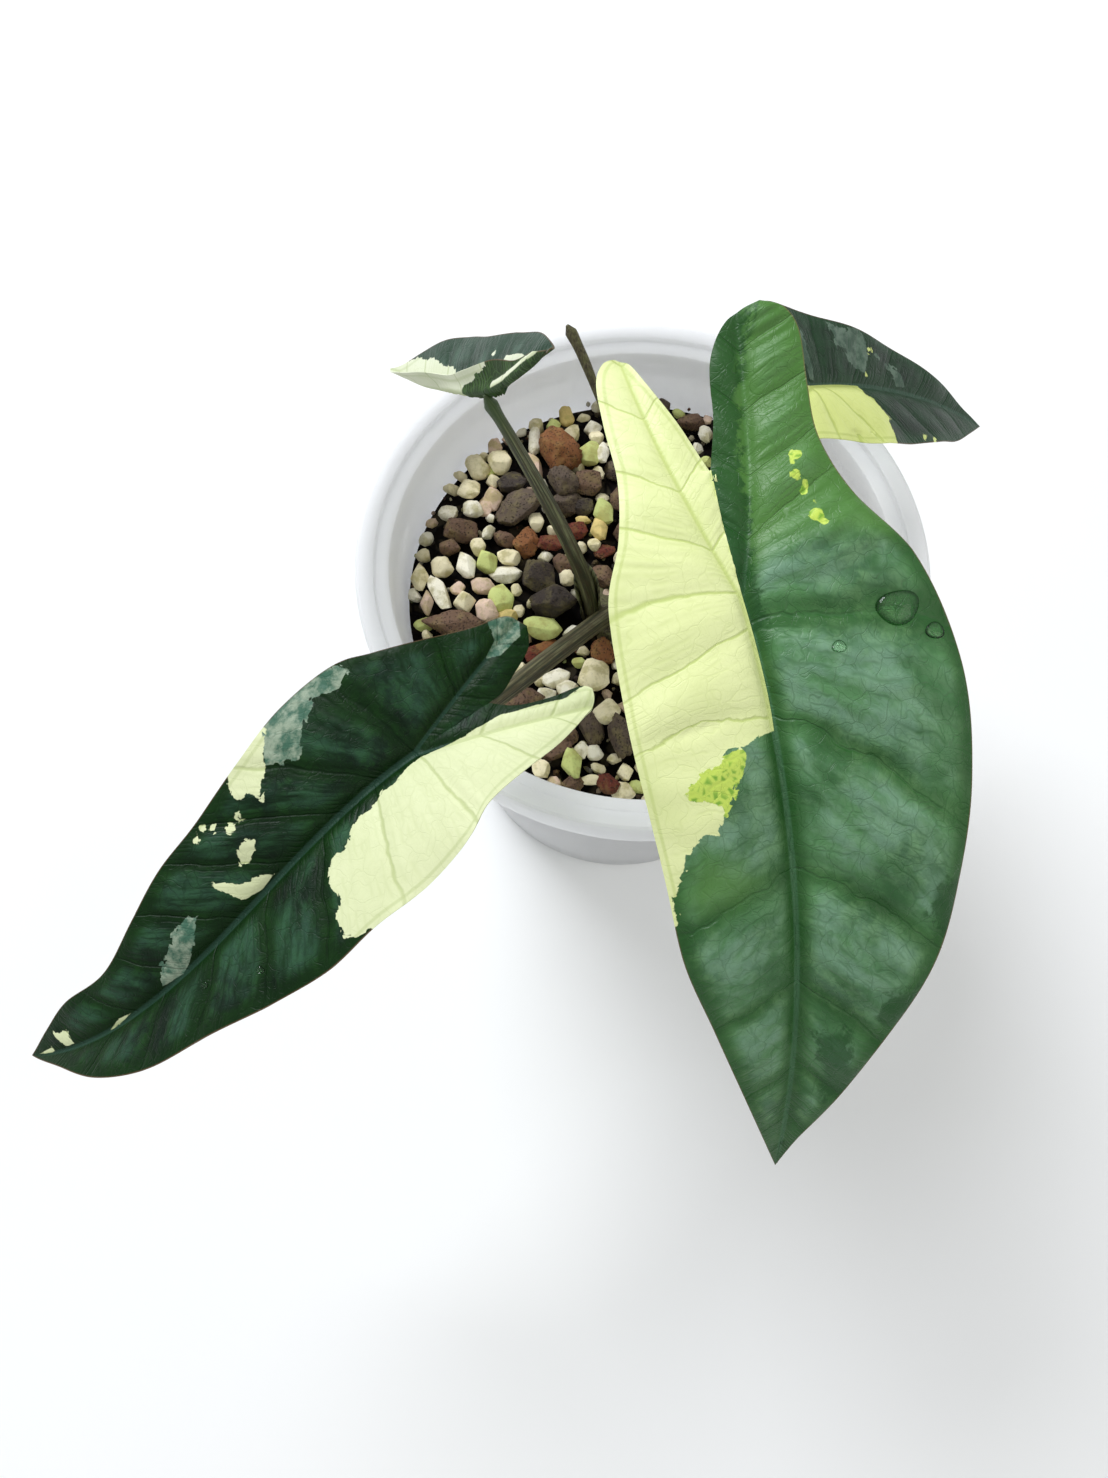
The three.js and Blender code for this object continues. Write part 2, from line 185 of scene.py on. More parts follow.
def move_vertices(piece: bpy.types.Object, places: Array) -> None:
    """Puts a mesh's vertices at these places, in metres."""
    piece.data.vertices.foreach_set("co", places.astype(np.float32).ravel())
    piece.data.update()


def vertex_normals(piece: bpy.types.Object) -> Array:
    """Reads a mesh's vertex normals."""
    flat = np.zeros(len(piece.data.vertices) * 3)
    piece.data.vertices.foreach_get("normal", flat)
    return flat.reshape(-1, 3)


def write_attribute(piece: bpy.types.Object, name: str, values: Array) -> None:
    """Stores one value, vector or colour for each vertex.

    Args:
        piece: The mesh object.
        name: The attribute's name, which materials read.
        values: One row for each vertex, with 1, 3 or 4 columns.
    """
    columns = 1 if values.ndim == 1 else values.shape[1]
    kind, slot = {1: ("FLOAT", "value"), 3: ("FLOAT_VECTOR", "vector"), 4: ("FLOAT_COLOR", "color")}[columns]
    attribute = piece.data.attributes.get(name) or piece.data.attributes.new(name, kind, "POINT")
    attribute.data.foreach_set(slot, values.astype(np.float32).ravel())


def read_attribute(piece: bpy.types.Object, name: str, columns: int = 1) -> Array:
    """Reads an attribute back as one row for each vertex."""
    flat = np.zeros(len(piece.data.vertices) * columns, np.float32)
    piece.data.attributes[name].data.foreach_get("value" if columns == 1 else "vector", flat)
    return flat.astype(float) if columns == 1 else flat.reshape(-1, columns).astype(float)


def sheet(name: str, columns: int, rows: int) -> tuple[bpy.types.Object, Array, Array]:
    """Adds a grid that is ready to be shaped.

    Args:
        name: The piece's name.
        columns: Faces across.
        rows: Faces along.

    Returns:
        The grid, and for each vertex its place across and along, from 0 to 1.
    """
    deselect_all()
    bpy.ops.mesh.primitive_grid_add(x_subdivisions=columns, y_subdivisions=rows, size=1.0)
    piece = bpy.context.view_layer.objects.active
    piece.name = name
    places = vertex_places(piece)
    return piece, places[:, 0] + 0.5, places[:, 1] + 0.5


def turned(name: str, profile: Places, sides: int, centre: Sequence[float] = (0.0, 0.0)) -> bpy.types.Object:
    """Raises a disc ring by ring into a closed turned shape.

    Args:
        name: The piece's name.
        profile: Radius and height of each ring, from the middle of the base outwards and up.
        sides: Faces round.
        centre: Where its axis stands.

    Returns:
        The piece, which is flat over its first and last rings.
    """
    deselect_all()
    radius, height = profile[0]
    place = Vector((centre[0], centre[1], height)) * MM
    bpy.ops.mesh.primitive_circle_add(
        vertices=sides, radius=radius * MM, fill_type="NGON", location=place)
    piece = bpy.context.view_layer.objects.active
    piece.name = name
    bpy.ops.object.transform_apply(location=True, rotation=False, scale=False)
    bpy.ops.object.mode_set(mode="EDIT")
    bpy.ops.mesh.select_all(action="SELECT")
    for ring in profile[1:]:
        lift = (ring[1] - height) * MM
        bpy.ops.mesh.extrude_region_move(TRANSFORM_OT_translate={"value": (0, 0, lift)})
        size = ring[0] / radius
        middle = (place.x, place.y, ring[1] * MM)
        bpy.ops.transform.resize(value=(size, size, 1), center_override=middle)
        radius, height = ring
    bpy.ops.mesh.select_all(action="SELECT")
    bpy.ops.mesh.normals_make_consistent(inside=False)
    bpy.ops.object.mode_set(mode="OBJECT")
    return piece


def smooth(piece: bpy.types.Object, degrees: float = 180.0) -> None:
    """Shades a piece smooth, but for edges sharper than an angle."""
    select_only([piece])
    if degrees >= 180.0:
        bpy.ops.object.shade_smooth()
    else:
        bpy.ops.object.shade_smooth_by_angle(angle=math.radians(degrees))


def settle(piece: bpy.types.Object, finish: bpy.types.Material, nodes: Sequence[str]) -> None:
    """Dresses a finished piece and ties it to the frame.

    Args:
        piece: The finished piece.
        finish: Its material.
        nodes: The frame's nodes that it stands for.
    """
    piece.data.materials.clear()
    piece.data.materials.append(finish)
    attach(piece, "root")
    if nodes:
        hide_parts(*nodes)
    log.info("%s: %d vertices", piece.name, len(piece.data.vertices))


# Shading helpers.


class Shader:
    """A node tree with short calls for its common nodes. Each value given is a socket or a number."""

    def __init__(self, tree: bpy.types.NodeTree) -> None:
        """Starts on a tree, which may hold nodes already."""
        self.tree = tree

    def node(self, kind: str, **settings: object) -> bpy.types.Node:
        """Adds a node to the right of the others and sets its options."""
        made = self.tree.nodes.new(kind)
        made.location = (180 * len(self.tree.nodes), 0)
        for name, value in settings.items():
            setattr(made, name, value)
        return made

    def feed(self, socket: Socket, value: object) -> None:
        """Links a socket, or sets its own value. A text is a colour code."""
        if isinstance(value, bpy.types.NodeSocket):
            self.tree.links.new(value, socket)
        else:
            socket.default_value = paint(value) if isinstance(value, str) else value

    def maths(self, operation: str, a: object, b: object = 0.0, clamp: bool = False) -> Socket:
        """Works out one value from two."""
        made = self.node("ShaderNodeMath", operation=operation, use_clamp=clamp)
        self.feed(made.inputs[0], a)
        self.feed(made.inputs[1], b)
        return made.outputs[0]

    def times(self, a: object, b: object) -> Socket:
        """Multiplies two values."""
        return self.maths("MULTIPLY", a, b)

    def mix(self, factor: object, a: object, b: object, blend: str = "MIX") -> Socket:
        """Mixes two colours."""
        made = self.node("ShaderNodeMix", data_type="RGBA", blend_type=blend)
        self.feed(made.inputs[0], factor)
        self.feed(made.inputs[6], a)
        self.feed(made.inputs[7], b)
        return made.outputs[2]

    def span(self, value: object, low: object, high: object, first: float = 0.0, last: float = 1.0) -> Socket:
        """Maps a value smoothly from one range to another."""
        made = self.node("ShaderNodeMapRange", interpolation_type="SMOOTHSTEP")
        for name, given in zip(("Value", "From Min", "From Max", "To Min", "To Max"),
                               (value, low, high, first, last)):
            self.feed(made.inputs[name], given)
        return made.outputs["Result"]

    def noise(self, vector: object, scale: float, detail: float = 3.0, roughness: float = 0.5) -> Socket:
        """Cloudy noise from 0 to 1."""
        made = self.node("ShaderNodeTexNoise")
        self.feed(made.inputs["Vector"], vector)
        made.inputs["Scale"].default_value = scale
        made.inputs["Detail"].default_value = detail
        made.inputs["Roughness"].default_value = roughness
        return made.outputs["Fac"]

    def cells(self, vector: object, scale: float, feature: str = "DISTANCE_TO_EDGE") -> bpy.types.Node:
        """Irregular cells."""
        made = self.node("ShaderNodeTexVoronoi", feature=feature)
        self.feed(made.inputs["Vector"], vector)
        made.inputs["Scale"].default_value = scale
        return made

    def stretch(self, vector: object, scale: Sequence[float]) -> Socket:
        """Scales a pattern's vector."""
        made = self.node("ShaderNodeMapping")
        self.feed(made.inputs["Vector"], vector)
        made.inputs["Scale"].default_value = scale
        return made.outputs["Vector"]

    def attribute(self, name: str, output: str = "Fac") -> Socket:
        """Reads a surface attribute."""
        return self.node("ShaderNodeAttribute", attribute_name=name).outputs[output]

    def millimetres(self) -> Socket:
        """The place on the object, in millimetres."""
        place = self.node("ShaderNodeTexCoord").outputs["Object"]
        return self.stretch(place, (1000.0, 1000.0, 1000.0))

    def bump(self, height: Socket, strength: float, depth: float, below: Socket | None = None) -> Socket:
        """Raises a height into the normal.

        Args:
            height: The height, from 0 to 1.
            strength: How much of it shows.
            depth: The height of a full step, in millimetres.
            below: A normal to add to.

        Returns:
            The normal.
        """
        made = self.node("ShaderNodeBump")
        made.inputs["Strength"].default_value = strength
        made.inputs["Distance"].default_value = depth * MM
        self.feed(made.inputs["Height"], height)
        if below is not None:
            self.feed(made.inputs["Normal"], below)
        return made.outputs["Normal"]

    def group(self, tree: bpy.types.NodeTree, **values: object) -> bpy.types.Node:
        """Places a node group and feeds its inputs."""
        made = self.node("ShaderNodeGroup", node_tree=tree)
        for name, value in values.items():
            self.feed(made.inputs[name.replace("_", " ").title()], value)
        return made


def new_material(name: str) -> tuple[bpy.types.Material, Shader, bpy.types.Node]:
    """Starts a material.

    Args:
        name: The material's name.

    Returns:
        The material, its node tree and its surface shader.
    """
    material = bpy.data.materials.new(name)
    material.use_nodes = True
    return material, Shader(material.node_tree), material.node_tree.nodes["Principled BSDF"]


def new_group(name: str, inputs: dict[str, str], outputs: dict[str, str]) -> tuple[Shader, dict, dict]:
    """Starts a node group that several materials share.

    Args:
        name: The group's name.
        inputs: The kind of each named input socket.
        outputs: The kind of each named output socket.

    Returns:
        The group's tree, its inner input sockets and its inner output sockets, by name.
    """
    tree = bpy.data.node_groups.new(name, "ShaderNodeTree")
    for way, sockets in (("INPUT", inputs), ("OUTPUT", outputs)):
        for socket, kind in sockets.items():
            tree.interface.new_socket(socket, in_out=way, socket_type=f"NodeSocket{kind}")
    shader = Shader(tree)
    entry = shader.node("NodeGroupInput")
    leave = shader.node("NodeGroupOutput")
    return shader, {s: entry.outputs[s] for s in inputs}, {s: leave.inputs[s] for s in outputs}


class SharedEffects:
    """Effects that more than one finish uses, each built once."""

    def __init__(self) -> None:
        """Builds the groups."""
        self.ragged = self.ragged_edge()
        self.veins = self.leaf_veins()
        self.mottle = self.mottling()

    @staticmethod
    def ragged_edge() -> bpy.types.NodeTree:
        """A marking's jagged outline, from the signed distance to its smooth one."""
        shader, given, made = new_group(
            "ragged_edge", {"Distance": "Float", "Place": "Vector", "Roughness": "Float"}, {"Mask": "Float"})
        coarse = shader.cells(given["Place"], 0.62, "F1").outputs["Color"]
        split = shader.node("ShaderNodeSeparateColor")
        shader.feed(split.inputs[0], coarse)
        fine = shader.noise(given["Place"], 1.1, 4.0, 0.6)
        shift = shader.maths("ADD", shader.times(split.outputs[0], 0.9), fine)
        shift = shader.times(shader.maths("SUBTRACT", shift, 0.95), given["Roughness"])
        edge = shader.maths("ADD", given["Distance"], shift)
        shader.feed(made["Mask"], shader.span(edge, -0.09, 0.09))
        return shader.tree

    @staticmethod
    def leaf_veins() -> bpy.types.NodeTree:
        """The veins of a blade, from the count of side veins and the distance along them."""
        shader, given, made = new_group(
            "leaf_veins", {"Rib": "Vector", "Place": "Vector"},
            {"Primary": "Float", "Net": "Float", "Streak": "Float", "Swell": "Float", "Relief": "Float"})
        split = shader.node("ShaderNodeSeparateXYZ")
        shader.feed(split.inputs[0], given["Rib"])
        count, out, spacing = split.outputs
        sway = shader.maths("SUBTRACT", shader.noise(given["Place"], 0.12), 0.5)
        swayed = shader.maths("ADD", count, shader.times(sway, 0.24))
        away = shader.times(shader.maths("PINGPONG", swayed, 0.5), spacing)
        primary = shader.times(shader.span(away, 0.05, 0.4, 1.0, 0.0),
                               shader.span(out, 16.0, 30.0, 1.0, 0.3))
        between = shader.maths("PINGPONG", shader.times(swayed, 9.0), 0.5)
        between = shader.times(between, shader.times(spacing, 0.11))
        broken = shader.span(shader.noise(given["Place"], 0.2, 2.0), 0.44, 0.6)
        second = shader.times(shader.span(between, 0.0, 0.42, 0.85, 0.0), broken)
        warp = shader.node("ShaderNodeTexNoise")
        shader.feed(warp.inputs["Vector"], given["Place"])
        warp.inputs["Scale"].default_value = 0.16
        shift = shader.mix(1.0, warp.outputs["Color"], (7.0, 7.0, 7.0, 1.0), "MULTIPLY")
        bent = shader.mix(1.0, given["Place"], shift, "ADD")
        net = shader.span(shader.cells(bent, 0.26).outputs["Distance"], 0.006, 0.04, 0.7, 0.0)
        small = shader.span(shader.cells(bent, 0.85).outputs["Distance"], 0.01, 0.08, 0.3, 0.0)
        lines = shader.maths("MAXIMUM", shader.maths("MAXIMUM", net, small), second)
        combed = shader.node("ShaderNodeCombineXYZ")
        shader.feed(combed.inputs[0], shader.times(swayed, 3.2))
        shader.feed(combed.inputs[1], shader.times(out, 0.09))
        streak = shader.noise(combed.outputs[0], 1.0, 4.0, 0.62)
        shader.feed(made["Primary"], primary)
        shader.feed(made["Net"], lines)
        shader.feed(made["Streak"], streak)
        shader.feed(made["Swell"], shader.span(away, 0.4, 4.2))
        relief = shader.maths("SUBTRACT", shader.times(streak, 0.75),
                              shader.times(lines, 0.35))
        shader.feed(made["Relief"], shader.maths("SUBTRACT", relief, shader.times(primary, 0.6)))
        return shader.tree

    @staticmethod
    def mottling() -> bpy.types.NodeTree:
        """Blotches at two sizes, with specks."""
        shader, given, made = new_group(
            "mottling", {"Place": "Vector"}, {"Cloud": "Float", "Blotch": "Float", "Speck": "Float"})
        shader.feed(made["Cloud"], shader.noise(given["Place"], 0.07, 4.0, 0.55))
        shader.feed(made["Blotch"], shader.span(shader.noise(given["Place"], 0.3, 6.0, 0.66), 0.4, 0.62))
        specks = shader.cells(given["Place"], 0.9, "F1").outputs["Distance"]
        shader.feed(made["Speck"], shader.span(specks, 0.05, 0.16, 1.0, 0.0))
        return shader.tree


@dataclass(frozen=True)
class LeafFinish:
    """The colours of one blade, as six-digit codes, and how its greens are mixed."""

    name: str
    dark: str
    mid: str
    light: str
    # The silver colour serves the silver markings and also the painted sheen over the quilting.
    silver: str
    frost: str = "a3b39c"
    lime: str = "cfe660"
    lime_cell: str = "6fa829"
    margin_line: str = "7d5a45"
    cream: str = "edf4b4"
    cream_vein: str = "c3d27c"
    # The dark green of the margin band, also used for painted shade in the midrib groove and the vein
    # valleys.
    rim: str = "3a5a34"
    under: str = "5f7a58"
    deep: str = "1a4a1c"
    fresh: str = "659245"
    lightness: float = 0.5
    # How much painted sheen, partly the blade's own silver tone, is mixed over the greens.
    sheen_and_silver: float = 0.5
    rib_line: str = "44704c"
    gloss: float = 0.4
    shine: float = 0.4

    def material(self, effects: SharedEffects) -> bpy.types.Material:
        """Mixes the blade's material.

        Args:
            effects: The shared node groups.

        Returns:
            The material.
        """
        material, shader, surface = new_material(self.name)
        place = shader.attribute("flat", "Vector")
        rib = shader.attribute("rib", "Vector")
        veins = shader.group(effects.veins, rib=rib, place=place)
        mottle = shader.group(effects.mottle, place=place)
        primary, net, streak = (veins.outputs[n] for n in ("Primary", "Net", "Streak"))
        off_rib = shader.maths("ABSOLUTE", shader.attribute("off_rib"))
        edge = shader.attribute("edge")

        lit = shader.span(mottle.outputs["Cloud"], 0.5 - 0.3 * self.lightness, 0.86 - 0.3 * self.lightness)
        green = shader.mix(lit, self.dark, self.mid)
        patchy = shader.times(mottle.outputs["Blotch"], shader.span(streak, 0.35, 0.62))
        green = shader.mix(shader.times(patchy, self.lightness), green, self.light)
        # Painted sheen: a silvery reflection painted on the quilted tops between the veins, away from the
        # margin and midrib; partly the blade's own silver tone, partly painted reflection of the bright sky.
        sheen = shader.times(shader.span(streak, 0.38, 0.6, 0.2, 1.0), shader.span(edge, 1.4, 4.6))
        sheen = shader.times(sheen, shader.span(off_rib, 1.0, 4.2))
        sheen = shader.times(sheen, veins.outputs["Swell"])
        sheen = shader.times(sheen, shader.span(mottle.outputs["Cloud"], 0.38, 0.56, 0.35, 1.0))
        green = shader.mix(shader.times(sheen, self.sheen_and_silver), green, self.silver)
        # Painted shade: darker green in the groove along the midrib.
        green = shader.mix(shader.span(off_rib, 0.8, 3.4, 0.7, 0.0), green, self.rim)
        # Painted shade: darker green in the quilting's valleys along the side veins.
        green = shader.mix(shader.span(veins.outputs["Swell"], 0.0, 0.5, 0.5, 0.0), green, self.rim)
        green = shader.mix(shader.times(primary, 0.25), green, self.dark)
        green = shader.mix(shader.times(net, 0.42), green, self.dark)
        green = shader.mix(shader.span(off_rib, 0.2, 0.55, 0.7, 0.0), green, self.rib_line)
        green = shader.mix(shader.span(edge, 0.6, 4.0, 0.75, 0.0), green, self.rim)

        fresh = shader.span(shader.attribute(Patch.FRESH.value), -2.5, 4.0, 0.0, 0.72)
        green = shader.mix(fresh, green, self.fresh)
        drift = shader.span(mottle.outputs["Blotch"], 0.0, 1.0, -0.6, 1.0)
        deep = shader.span(shader.maths("ADD", shader.attribute(Patch.DEEP.value), drift), -0.9, 0.9)
        green = shader.mix(shader.times(deep, 0.82), green, self.deep)
        silver = self.patch(shader, effects, Patch.SILVER, 1.1)
        grey = shader.mix(mottle.outputs["Blotch"], self.silver, self.frost)
        green = shader.mix(shader.times(silver, 0.86), green, grey)
        lime = self.patch(shader, effects, Patch.LIME, 1.2)
        meshes = shader.span(shader.cells(place, 0.75).outputs["Distance"], 0.08, 0.34)
        bright = shader.mix(shader.times(meshes, 0.85), self.lime, self.lime_cell)
        green = shader.mix(shader.times(lime, 0.9), green, bright)

        pale = shader.mix(shader.times(net, 0.24), self.cream, self.cream_vein)
        rib_line = shader.maths("MAXIMUM", primary, shader.span(off_rib, 0.1, 0.7, 0.9, 0.0))
        pale = shader.mix(shader.times(rib_line, 0.85), pale, self.cream_vein)
        pale = shader.mix(shader.span(mottle.outputs["Cloud"], 0.3, 0.8, 0.0, 0.3), pale, self.cream_vein)
        off_line = shader.maths("ABSOLUTE", shader.maths("SUBTRACT", edge, 1.3))
        near_edge = shader.span(off_line, 0.12, 0.5, 0.5, 0.0)
        pale = shader.mix(near_edge, pale, self.cream_vein)
        cream = self.patch(shader, effects, Patch.CREAM, 1.0)
        colour = shader.mix(cream, green, pale)

        under = shader.attribute("under")
        below = shader.mix(shader.times(net, 0.4), self.under, self.fresh)
        dull = shader.mix(shader.times(under, 0.9), colour, shader.mix(cream, below, pale))
        rim_line = shader.span(edge, 0.06, 0.3, 0.5, 0.0)
        rim_line = shader.times(rim_line, shader.maths("SUBTRACT", 1.0, cream))
        shader.feed(surface.inputs["Base Color"], shader.mix(rim_line, dull, self.margin_line))

        rough = shader.span(streak, 0.3, 0.7, self.gloss - 0.07, self.gloss + 0.1)
        rough = shader.maths("ADD", rough, shader.times(under, 0.25), clamp=True)
        shader.feed(surface.inputs["Roughness"], rough)
        surface.inputs["Specular IOR Level"].default_value = self.shine
        height = shader.times(veins.outputs["Relief"], shader.span(cream, 0.0, 1.0, 1.0, 0.45))
        relief = shader.bump(height, 0.6, 0.38)
        pores = shader.noise(place, 5.0, 2.0)
        shader.feed(surface.inputs["Normal"], shader.bump(pores, 0.2, 0.05, relief))
        return material

    @staticmethod
    def patch(shader: Shader, effects: SharedEffects, kind: Patch, roughness: float) -> Socket:
        """Masks the markings of one kind, with ragged edges."""
        place = shader.attribute("flat", "Vector")
        split = shader.node("ShaderNodeSeparateXYZ")
        shader.feed(split.inputs[0], place)
        near_rib = shader.span(shader.maths("ABSOLUTE", split.outputs[1]), 0.4, 3.5, 0.12, 1.0)
        calm = shader.times(near_rib, shader.span(split.outputs[0], -6.0, 4.0, 0.25, 1.0))
        return shader.group(effects.ragged, distance=shader.attribute(kind.value), place=place,
                            roughness=shader.times(calm, roughness)).outputs["Mask"]


@dataclass(frozen=True)
class Marking:
    """An area of another colour on a blade: an outline, or a fleck round its first point.

    The outline's points are flat places on the blade: the distance along the midrib and the distance
    out from it. It may run past the margin.
    """

    kind: Patch
    side: Side
    outline: Places
    fleck: float = 0.0

    def depth(self, along: Array, out: Array) -> Array:
        """How far inside the marking flat places lie, in millimetres, less than 0 outside."""
        points = np.array(self.outline, float)
        if self.fleck:
            return self.fleck - np.hypot(along - points[0, 0], out - points[0, 1])
        inside = np.zeros(along.shape, bool)
        nearest = np.full(along.shape, 1e9)
        for (ax, ay), (bx, by) in zip(points, np.roll(points, -1, axis=0)):
            span = (bx - ax) ** 2 + (by - ay) ** 2
            share = np.clip(((along - ax) * (bx - ax) + (out - ay) * (by - ay)) / max(span, 1e-9), 0, 1)
            gap = np.hypot(along - ax - share * (bx - ax), out - ay - share * (by - ay))
            nearest = np.minimum(nearest, gap)
            crosses = (ay > out) != (by > out)
            if by != ay:
                inside ^= crosses & (along < ax + (out - ay) * (bx - ax) / (by - ay))
        return np.where(inside, nearest, -nearest)


@dataclass(frozen=True)
class Half:
    """One half of a blade.

    The fold is its angle to the level at the midrib in degrees, the arch how fast it bends down
    outwards in degrees a millimetre, the lift how far the end of its lobe rises and the flatten how
    fast the fold opens towards the tip. The margin and the sinus are flat places. Both halves of a
    blade have as many margin stops. The basal numbers are the slope and the bend of the vein that
    runs into the lobe. Each vein row is a side vein's foot along the midrib, its lean and its bend.
    """

    fold: float
    arch: float
    lift: float
    margin: Places
    sinus: Places
    basal: tuple[float, float]
    veins: Places
    quilt: float = 0.4
    flatten: float = 0.0


@dataclass
class Stalk:
    """A leaf stalk, as its base on the stem, its way out, its way in to the blade and its radii."""

    name: str
    base: Sequence[float]
    rise: Sequence[float]
    reach: Sequence[float]
    radii: Sequence[float]
    end: Vector = field(default_factory=Vector)
    columns: int = 28
    rows: int = 110
    slim: float = 0.86
    flare: float = 0.3
    sheath: float = 0.0
    sheath_turn: float = 0.0
    bury: float = 2.2
    blunt: float = 1.6

    def line(self, share: Array) -> Array:
        """Places along the stalk's middle, from the rim's centre, at shares of its way."""
        leave, arrive = Vector(self.rise), Vector(self.reach)
        tilt = math.sin(leave.angle(Vector((0, 0, 1))))
        start = Vector((*self.base, CORM_RISE - MIX_DROP + STEM_GAP + self.radii[0] * tilt))
        corners = [np.array(p) for p in (start, start + leave, self.end - arrive, self.end)]
        t = share[:, None]
        weights = ((1 - t) ** 3, 3 * t * (1 - t) ** 2, 3 * t**2 * (1 - t), t**3)
        return sum(w * c for w, c in zip(weights, corners))

    def rings(self) -> tuple[Array, Array, Array, Array]:
        """The stalk's middle line with two directions across it, and the length to each ring."""
        share = np.linspace(0, 1, self.rows + 1)
        line = self.line(share)
        ahead = np.gradient(line, axis=0)
        ahead /= np.linalg.norm(ahead, axis=1)[:, None]
        line[0] -= ahead[0] * self.bury
        line[-1] += ahead[-1] * self.bury
        across = np.zeros_like(line)
        current = Vector((0.0, -1.0, 0.0))
        for i, way in enumerate(ahead):
            current = current - Vector(way) * current.dot(Vector(way))
            current.normalize()
            across[i] = current
        other = np.cross(ahead, across)
        length = np.concatenate([[0.0], np.cumsum(np.linalg.norm(np.diff(line, axis=0), axis=1))])
        return line, across, other, length

    def radius(self, share: Array, length: Array) -> Array:
        """The stalk's radius at each ring."""
        stops = np.linspace(0, 1, len(self.radii))
        smoothed = np.interp(share, stops, self.radii)
        kernel = np.ones(9) / 9
        smoothed = np.convolve(np.pad(smoothed, 4, mode="edge"), kernel, mode="valid")
        left = length[-1] - length
        swelling = np.exp(-(((left - self.bury - STEM_GAP) / 2.5) ** 2))
        swollen = self.slim * smoothed + self.flare * swelling
        ending = np.clip(left / self.blunt, 0.04, 1)
        return swollen * np.sqrt(ending * (2 - ending))

    def build(self) -> bpy.types.Object:
        """Makes the stalk as a closed tube with lengthwise ridges.

        Returns:
            The stalk.
        """
        piece, across, along = sheet(self.name.replace("petiole", "stalk"), self.columns, self.rows)
        line, first, second, length = self.rings()
        ring = np.rint(along * self.rows).astype(int)
        angle = across * 2 * math.pi
        radius = self.radius(np.linspace(0, 1, self.rows + 1), length)[ring]
        ridges = 1 + 0.025 * np.cos(7 * angle) + 0.015 * np.cos(11 * angle + length[ring] * 0.03)
        spread = (radius * ridges)[:, None]
        sideways = first[ring] * np.cos(angle)[:, None] + second[ring] * np.sin(angle)[:, None]
        places = line[ring] + spread * sideways
        places[:, 2] += POT_HEIGHT
        move_vertices(piece, places * MM)
        write_attribute(piece, "way", np.stack([3 * np.cos(angle), 3 * np.sin(angle), length[ring]], axis=1))
        write_attribute(piece, "reach", length[-1] - length[ring])
        edit_mesh(
            piece,
            lambda: bpy.ops.mesh.remove_doubles(threshold=0.00002),
            lambda: bpy.ops.mesh.fill_holes(sides=0),
            lambda: bpy.ops.mesh.normals_make_consistent(inside=False),
        )
        smooth(piece, 60)
        return piece

    def build_sheath(self) -> bpy.types.Object:
        """Makes the thin pointed sheath that wraps the stalk's lower end.

        Returns:
            The sheath.
        """
        piece, across, along = sheet(self.name.replace("petiole", "sheath"), 20, 30)
        line, first, second, length = self.rings()
        reach = along * self.sheath
        spot = np.stack([np.interp(reach, length, line[:, i]) for i in range(3)], axis=1)
        one = np.stack([np.interp(reach, length, first[:, i]) for i in range(3)], axis=1)
        two = np.stack([np.interp(reach, length, second[:, i]) for i in range(3)], axis=1)
        width = 5.0 * (1 - along**2.0) + 0.2
        angle = math.radians(self.sheath_turn) + (across - 0.5) * width
        edge = np.abs(across - 0.5) * 2
        loose = self.slim * self.radii[0] + 0.12 + 0.5 * np.exp(-reach / 4.0) + 0.8 * edge**6
        places = spot + loose[:, None] * (one * np.cos(angle)[:, None] + two * np.sin(angle)[:, None])
        places[:, 2] += POT_HEIGHT
        move_vertices(piece, places * MM)
        write_attribute(piece, "way", np.stack([3 * np.cos(angle), 3 * np.sin(angle), reach], axis=1))
        write_attribute(piece, "reach", 60 - reach)
        apply_modifier(piece, "SOLIDIFY", thickness=0.3 * MM, offset=0.0)
        smooth(piece)
        return piece


